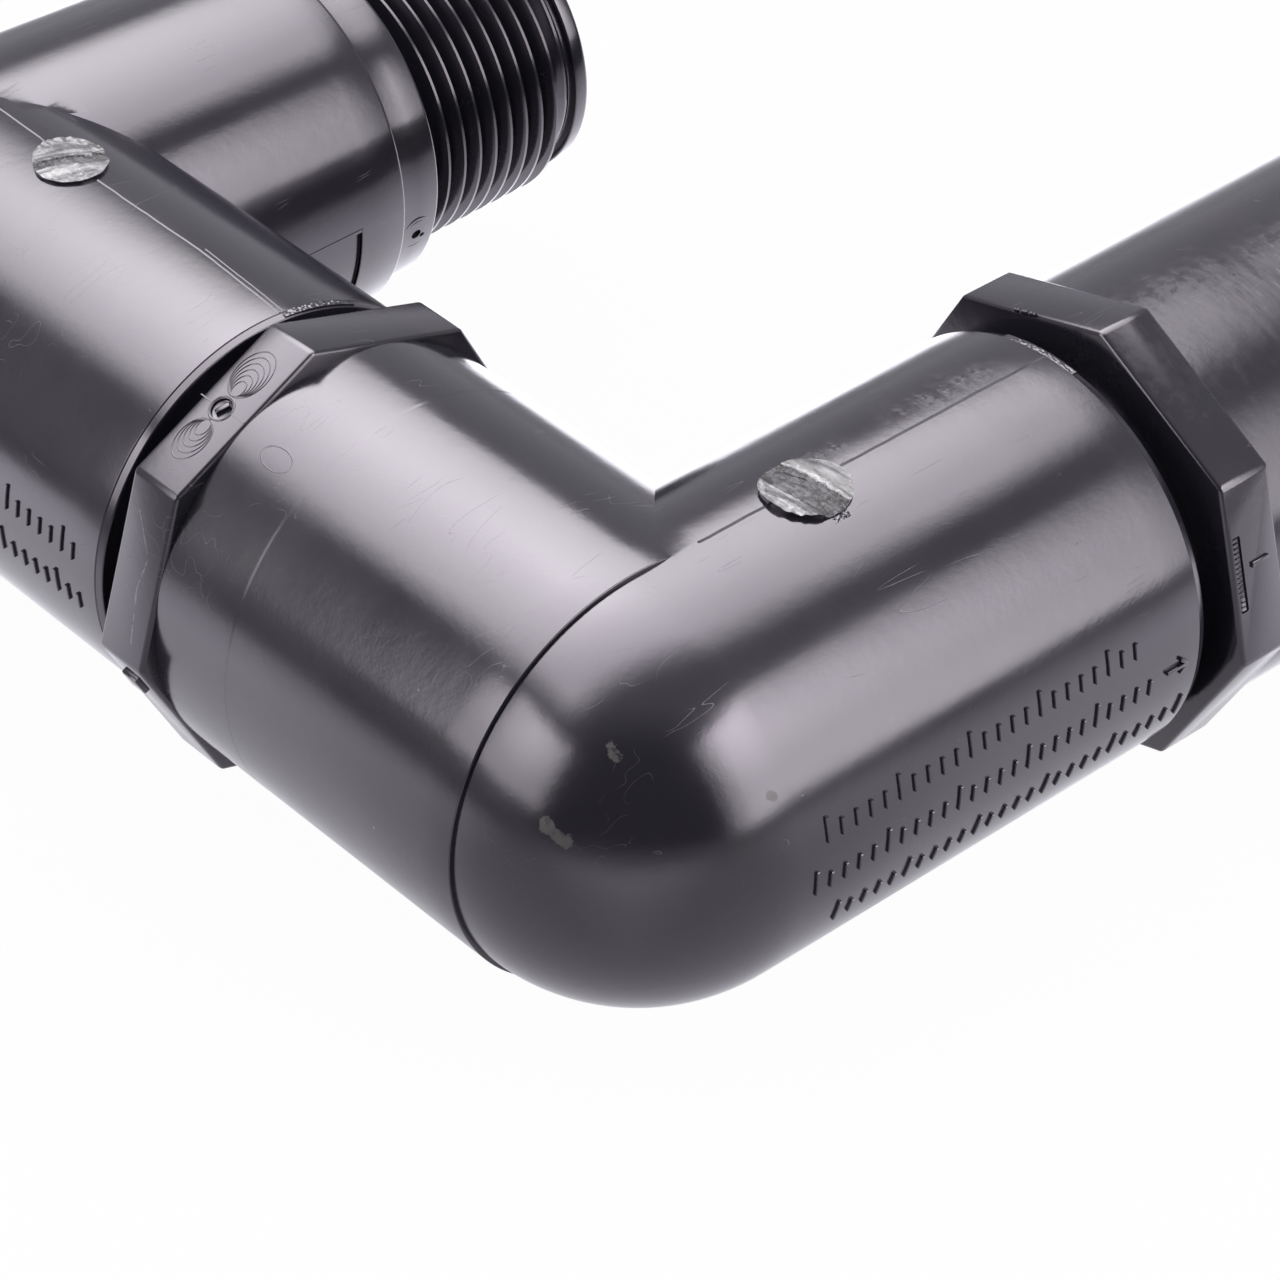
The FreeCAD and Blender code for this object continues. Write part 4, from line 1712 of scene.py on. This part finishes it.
@dataclass(frozen=True)
class LayArm(Fitting):
    """Straight arm along X with a collar and a spigot at each end. Its left collar face is at 0."""

    length: float = 194.7
    collar_turn: float = 7.1
    slot: tuple[float, float, float] = (1.0, 7.8, 0.6)
    slot_middle: float = 1.1
    ribs: int = 15
    rib_step: float = 0.5
    chips: int = 8
    chip_step: float = 0.36

    def build(self) -> bpy.types.Object:
        """Model the arm.

        Returns:
            The arm in its place.
        """
        sizes = self.sizes
        left = list(reversed(sizes.spigot(0, -1)))
        right = sizes.spigot(self.length, 1)
        outline = [
            *left,
            Corner(left[-1].along, sizes.arm_radius),
            Corner(right[0].along, sizes.arm_radius),
            *right,
        ]
        arm = Lathe(Axis.X).turn("arm", outline)
        ends = ((0.0, -1), (self.length, 1))
        for face, outwards in ends:
            combine(arm, sizes.collar(face, outwards, self.collar_turn, Axis.X), Operation.UNITE)
        past = sizes.spigot_length + 1
        bore = sizes.waterway(sizes.waterway_radius, -past, self.length + past, Axis.X)
        combine(arm, bore, Operation.CUT)
        details = [sizes.thread(face, outwards, Axis.X) for face, outwards in ends]
        details += self._collar_marks(arm)
        merge_objects(arm, details)
        smooth(arm)
        self.fit(arm, "lay_arm_skin", [self.finishes.plastic])
        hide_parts("lay_arm")
        return arm

    def _collar_marks(self, arm: bpy.types.Object) -> list[bpy.types.Object]:
        """A ribbed slot and a plain raised 1 on a flat of the left collar, and torn flash on its edge.

        Args:
            arm: The arm, which the slot is cut into.

        Returns:
            The raised parts.
        """
        half = self.sizes.collar_flats / 2
        # An angle from the top runs against a turn about X.
        turn = -self.collar_turn
        side = Axis.X.flat(0, turn - 67.5, half)
        middle = self.slot_middle
        combine(arm, bar(side, self.slot, (middle, 0, 0), rounding=0.2), Operation.CUT)
        first = -self.rib_step * (self.ribs - 1) / 2
        places = [self.rib_step * step + first for step in range(self.ribs)]
        raised = [bar(side, (0.9, 0.14, 0.2), (middle, place, -0.28)) for place in places]
        raised.append(bar(side, (2.2, 0.36, 0.5), (3.7, 0.5, 0), rounding=0.07))
        raised.append(bar(side, (0.5, 0.3, 0.5), (2.8, 0.3, 0), 40, 0.07))
        top = Axis.X.flat(0, turn + 22.5, half)
        for step in range(self.chips):
            grain = noise.noise(Vector((step * 0.7, 2.0, 5.0)))
            size = (0.35 + 0.2 * grain, 0.34, 0.35 + 0.3 * grain)
            spot = (0.05, 2.0 - self.chip_step * step, -0.05)
            raised.append(bar(top, size, spot, 60 * grain, 0.05))
        return raised


@dataclass(frozen=True)
class Photographer:
    """The camera: its direction, distance and aim, all about the street elbow's corner."""

    azimuth: float = -41.8595
    elevation: float = 38.3356
    roll: float = 0.3405
    distance: float = 430.236
    aim_right: float = 0.1455
    aim_up: float = 11.2744
    focal_length: float = 135.262
    sensor: float = 36.0

    def shoot(self, corner: Vector) -> None:
        """Set up the camera.

        Args:
            corner: The street elbow's corner, in metres.
        """
        azimuth, elevation, roll = (math.radians(a) for a in (self.azimuth, self.elevation, self.roll))
        back = Vector((
            math.sin(azimuth) * math.cos(elevation),
            -math.cos(azimuth) * math.cos(elevation),
            math.sin(elevation),
        ))
        right = (-back).cross(Vector((0, 0, 1))).normalized()
        up = right.cross(-back)
        place = corner + (right * self.aim_right + up * self.aim_up + back * self.distance) * MM
        side = right * math.cos(roll) + up * math.sin(roll)
        top = up * math.cos(roll) - right * math.sin(roll)
        deselect()
        bpy.ops.object.camera_add()
        camera = bpy.context.object
        camera.name = "photo_camera"
        camera.matrix_world = Matrix.Translation(place) @ Matrix((side, top, back)).transposed().to_4x4()
        camera.data.lens = self.focal_length
        camera.data.sensor_width = self.sensor
        camera.data.clip_start = 0.01
        bpy.context.scene.camera = camera


@dataclass(frozen=True)
class SoftBox:
    """A studio light with a lit cloth, brighter at one spot. What it lights is set apart from its gloss."""

    name: str
    azimuth: float
    elevation: float
    distance: float
    width: float
    height: float
    radiance: float
    edges: tuple[float, float, float, float] = (0.12, 0.12, 0.12, 0.12)
    hot_spot: tuple[float, float] = (0.5, 0.5)
    hot_size: float = 0.3
    hot_gain: float = 0.0
    level_turn: float | None = None

    def hang(self, target: Vector, fill: float) -> None:
        """Hang the light as two lamps, one that gloss shows and a weaker one that lights.

        Args:
            target: The point that it faces.
            fill: Radiance that lights, as a share of what gloss shows.
        """
        azimuth, elevation = math.radians(self.azimuth), math.radians(self.elevation)
        away = Vector((
            math.cos(azimuth) * math.cos(elevation),
            math.sin(azimuth) * math.cos(elevation),
            math.sin(elevation),
        ))
        facing = away.to_track_quat("Z", "Y").to_matrix().to_4x4()
        if self.level_turn is not None:
            facing = Matrix.Rotation(math.radians(self.level_turn), 4, "Z")
        for suffix, share in (("gloss", 1.0), ("fill", fill)):
            deselect()
            bpy.ops.object.light_add(type="AREA")
            lamp = bpy.context.object
            lamp.name = f"{self.name}_{suffix}"
            lamp.data.shape = "RECTANGLE"
            lamp.data.size = self.width
            lamp.data.size_y = self.height
            lamp.data.energy = self.radiance * share * math.pi * self.width * self.height
            lamp.matrix_world = Matrix.Translation(target + away * self.distance) @ facing
            lamp.visible_diffuse = suffix == "fill"
            lamp.visible_glossy = suffix == "gloss"
            self._dress(lamp.data)

    def _dress(self, lamp: bpy.types.Light) -> None:
        """Fade the cloth towards its edges and brighten its hot spot."""
        lamp.use_nodes = True
        tree = lamp.node_tree
        tree.nodes.clear()
        bench = NodeBench(tree)
        place = bench.add("NewGeometry").outputs["Parametric"]
        parts = bench.add("SeparateXYZ", {0: place})
        strength = None
        for part, near, far in zip(parts.outputs, self.edges[::2], self.edges[1::2]):
            fade = bench.math("MULTIPLY", bench.ramp(part, 0.0, near), bench.ramp(part, 1.0, 1.0 - far))
            strength = fade if strength is None else bench.math("MULTIPLY", strength, fade)
        away = bench.vector("DISTANCE", place, (*self.hot_spot, 0.0))
        hot = bench.ramp(away, self.hot_size, 0.0, 1.0, 1.0 + self.hot_gain)
        strength = bench.math("MULTIPLY", strength, hot)
        glow = bench.add("Emission", {"Strength": strength})
        out = bench.add("OutputLight")
        tree.links.new(glow.outputs[0], out.inputs["Surface"])


@dataclass(frozen=True)
class Studio:
    """Pale floor, white surroundings and soft lights."""

    floor_size: float = 6.0
    floor_colour: tuple[float, float, float, float] = (0.82, 0.82, 0.83, 1.0)
    floor_glow: float = 0.95
    camera_white: float = 1.025
    front_pool: tuple[float, float] = (0.11, 0.30)
    back_pool: tuple[float, float] = (0.20, 0.28)
    shadow_strip: tuple[float, float, float] = (0.02, 0.075, 0.35)
    floor_shine: tuple[float, float, float] = (0.15, 1.5, 2.8)
    gloss_tint: tuple[float, float, float, float] = (0.97, 0.955, 1.03, 1.0)
    surround: float = 0.35
    gloss_surround: float = 0.72
    fill: float = 0.4
    behind: tuple[float, float, float] = (0.667, 0.745, 0.0)
    dark_side: tuple[float, float, float] = (-0.66, -0.74, 0.12)
    dark_level: float = 0.15
    boxes: tuple[SoftBox, ...] = (
        SoftBox(
            "overhead_box",
            azimuth=80.1,
            elevation=50.6,
            distance=0.6470,
            width=0.915,
            height=0.98,
            radiance=6.2,
            edges=(0.17, 0.03, 0.12, 0.30),
            hot_spot=(0.56, 0.46),
            hot_size=0.42,
            hot_gain=1.0,
            level_turn=-10.2,
        ),
        SoftBox(
            "right_box",
            azimuth=-66.0,
            elevation=21.5,
            distance=1.2,
            width=1.2,
            height=1.17,
            radiance=6.9,
            edges=(0.3, 0.3, 0.1, 0.03),
            hot_spot=(0.5, 0.88),
            hot_size=0.5,
            hot_gain=0.9,
        ),
        SoftBox(
            "left_box",
            azimuth=162.0,
            elevation=25.5,
            distance=1.4,
            width=1.13,
            height=0.94,
            radiance=4.2,
            edges=(0.1, 0.1, 0.1, 0.1),
            hot_spot=(0.5, 0.8),
            hot_size=0.55,
            hot_gain=1.1,
        ),
    )

    def prepare(self, target: Vector) -> None:
        """Make the floor, the surroundings and the lights.

        Args:
            target: The point that the lights face.
        """
        scene = bpy.context.scene
        scene.view_settings.view_transform = "Standard"
        self._floor(target)
        self._world(scene)
        for box in self.boxes:
            box.hang(target, self.fill)

    def _floor(self, target: Vector) -> None:
        """A floor that is white to the camera, takes the object's shadow and shows gloss a pool of light."""
        deselect()
        bpy.ops.mesh.primitive_plane_add(size=self.floor_size)
        floor = bpy.context.object
        floor.name = "floor"
        material = bpy.data.materials.new("pale_floor")
        material.use_nodes = True
        tree = material.node_tree
        tree.nodes.clear()
        bench = NodeBench(tree)
        path = bench.add("LightPath")
        shiny = bench.math("MAXIMUM", path.outputs["Is Glossy Ray"], path.outputs["Is Transmission Ray"])
        matt = bench.add("BsdfDiffuse", {"Color": self.floor_colour})
        glow = bench.add("Emission", {"Color": (1, 1, 1, 1), "Strength": self.camera_white})
        share = bench.math("MULTIPLY", path.outputs["Is Camera Ray"], self.floor_glow)
        plain = bench.add("MixShader", {0: share, 1: matt.outputs[0], 2: glow.outputs[0]})
        place = bench.add("NewGeometry").outputs["Position"]
        reach = bench.vector("SUBTRACT", place, target)
        behind = bench.vector("DOT_PRODUCT", reach, self.behind)
        away = bench.vector("LENGTH", reach)
        far, front, back = self.floor_shine
        rear = bench.ramp(behind, -0.02, 0.05)
        before = bench.ramp(away, *self.front_pool, front - far, 0.0)
        beyond = bench.ramp(away, *self.back_pool, back - far, 0.0)
        level = bench.add("Mix", {0: rear, 2: before, 3: beyond}).outputs[0]
        sides = bench.add("SeparateXYZ", {0: bench.vector("ABSOLUTE", reach)}).outputs
        low, high, shade = self.shadow_strip
        strip = bench.ramp(bench.math("MINIMUM", sides[0], sides[1]), low, high, shade, 1.0)
        level = bench.math("MULTIPLY", level, strip)
        level = bench.math("MULTIPLY", shiny, bench.math("ADD", level, far))
        shine = bench.add("Emission", {"Color": self.gloss_tint, "Strength": level})
        both = bench.add("AddShader", {0: plain.outputs[0], 1: shine.outputs[0]})
        out = bench.add("OutputMaterial")
        tree.links.new(both.outputs[0], out.inputs["Surface"])
        floor.data.materials.append(material)

    def _world(self, scene: bpy.types.Scene) -> None:
        """White surroundings for the camera and for gloss, darker behind the camera."""
        world = bpy.data.worlds.new("studio")
        scene.world = world
        world.use_nodes = True
        tree = world.node_tree
        tree.nodes.clear()
        bench = NodeBench(tree)
        path = bench.add("LightPath")
        shiny = bench.math("MAXIMUM", path.outputs["Is Glossy Ray"], path.outputs["Is Transmission Ray"])
        direction = bench.add("TexCoord").outputs["Generated"]
        facing = bench.vector("DOT_PRODUCT", direction, self.dark_side)
        lit = bench.ramp(facing, 0.45, 0.75, 1.0, self.dark_level)
        strength = bench.add("Mix", {0: shiny, 2: self.surround, 3: self.gloss_surround}).outputs[0]
        seen = {0: path.outputs["Is Camera Ray"], 2: strength, 3: self.camera_white}
        strength = bench.math("MULTIPLY", bench.add("Mix", seen).outputs[0], lit)
        glow = bench.add("Background", {"Color": self.gloss_tint, "Strength": strength})
        out = bench.add("OutputWorld")
        tree.links.new(glow.outputs[0], out.inputs["Surface"])


def main() -> None:
    """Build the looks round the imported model."""
    logging.basicConfig(level=logging.INFO, format="%(name)s: %(message)s")
    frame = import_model()
    joints = {joint["name"]: joint for joint in frame["joints"]}
    sizes = SwivelSizes()
    upright = joints["inlet_swivel"]["pos_m"]
    corner = Vector((upright[0], joints["middle_swivel"]["pos_m"][1], upright[2]))
    radius = sizes.socket_radius * MM
    inlet = Vector((corner.x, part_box("inlet_elbow")[1].y - radius, corner.z))
    outlet = Vector((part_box("outlet_elbow")[1].x - radius, corner.y, corner.z))
    arm = Vector((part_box("lay_arm")[0].x + sizes.spigot_length * MM, corner.y, corner.z))

    make_mould_skin()
    make_specks()
    make_mark()
    finishes = Finishes.make(corner)
    rubber = SealRubber().make()

    StreetElbow("street_elbow", Matrix.Translation(corner), finishes).build()
    quarter = Matrix.Rotation(-QUARTER, 4, "Z")
    ThreadedElbow("inlet_elbow", Matrix.Translation(inlet) @ quarter, finishes).build()
    over = Matrix.Rotation(math.pi, 4, "Y")
    ThreadedElbow("outlet_elbow", Matrix.Translation(outlet) @ over, finishes, gap=2.9).build()
    LayArm("lay_arm", Matrix.Translation(arm), finishes).build()
    for name in ("inlet_seal", "middle_seal", "outlet_seal"):
        seal = frame["nodes"][name]
        seal.data.materials.clear()
        seal.data.materials.append(rubber)

    Photographer().shoot(corner)
    Studio().prepare(corner)
    deselect()


if __name__ == "__main__":
    main()
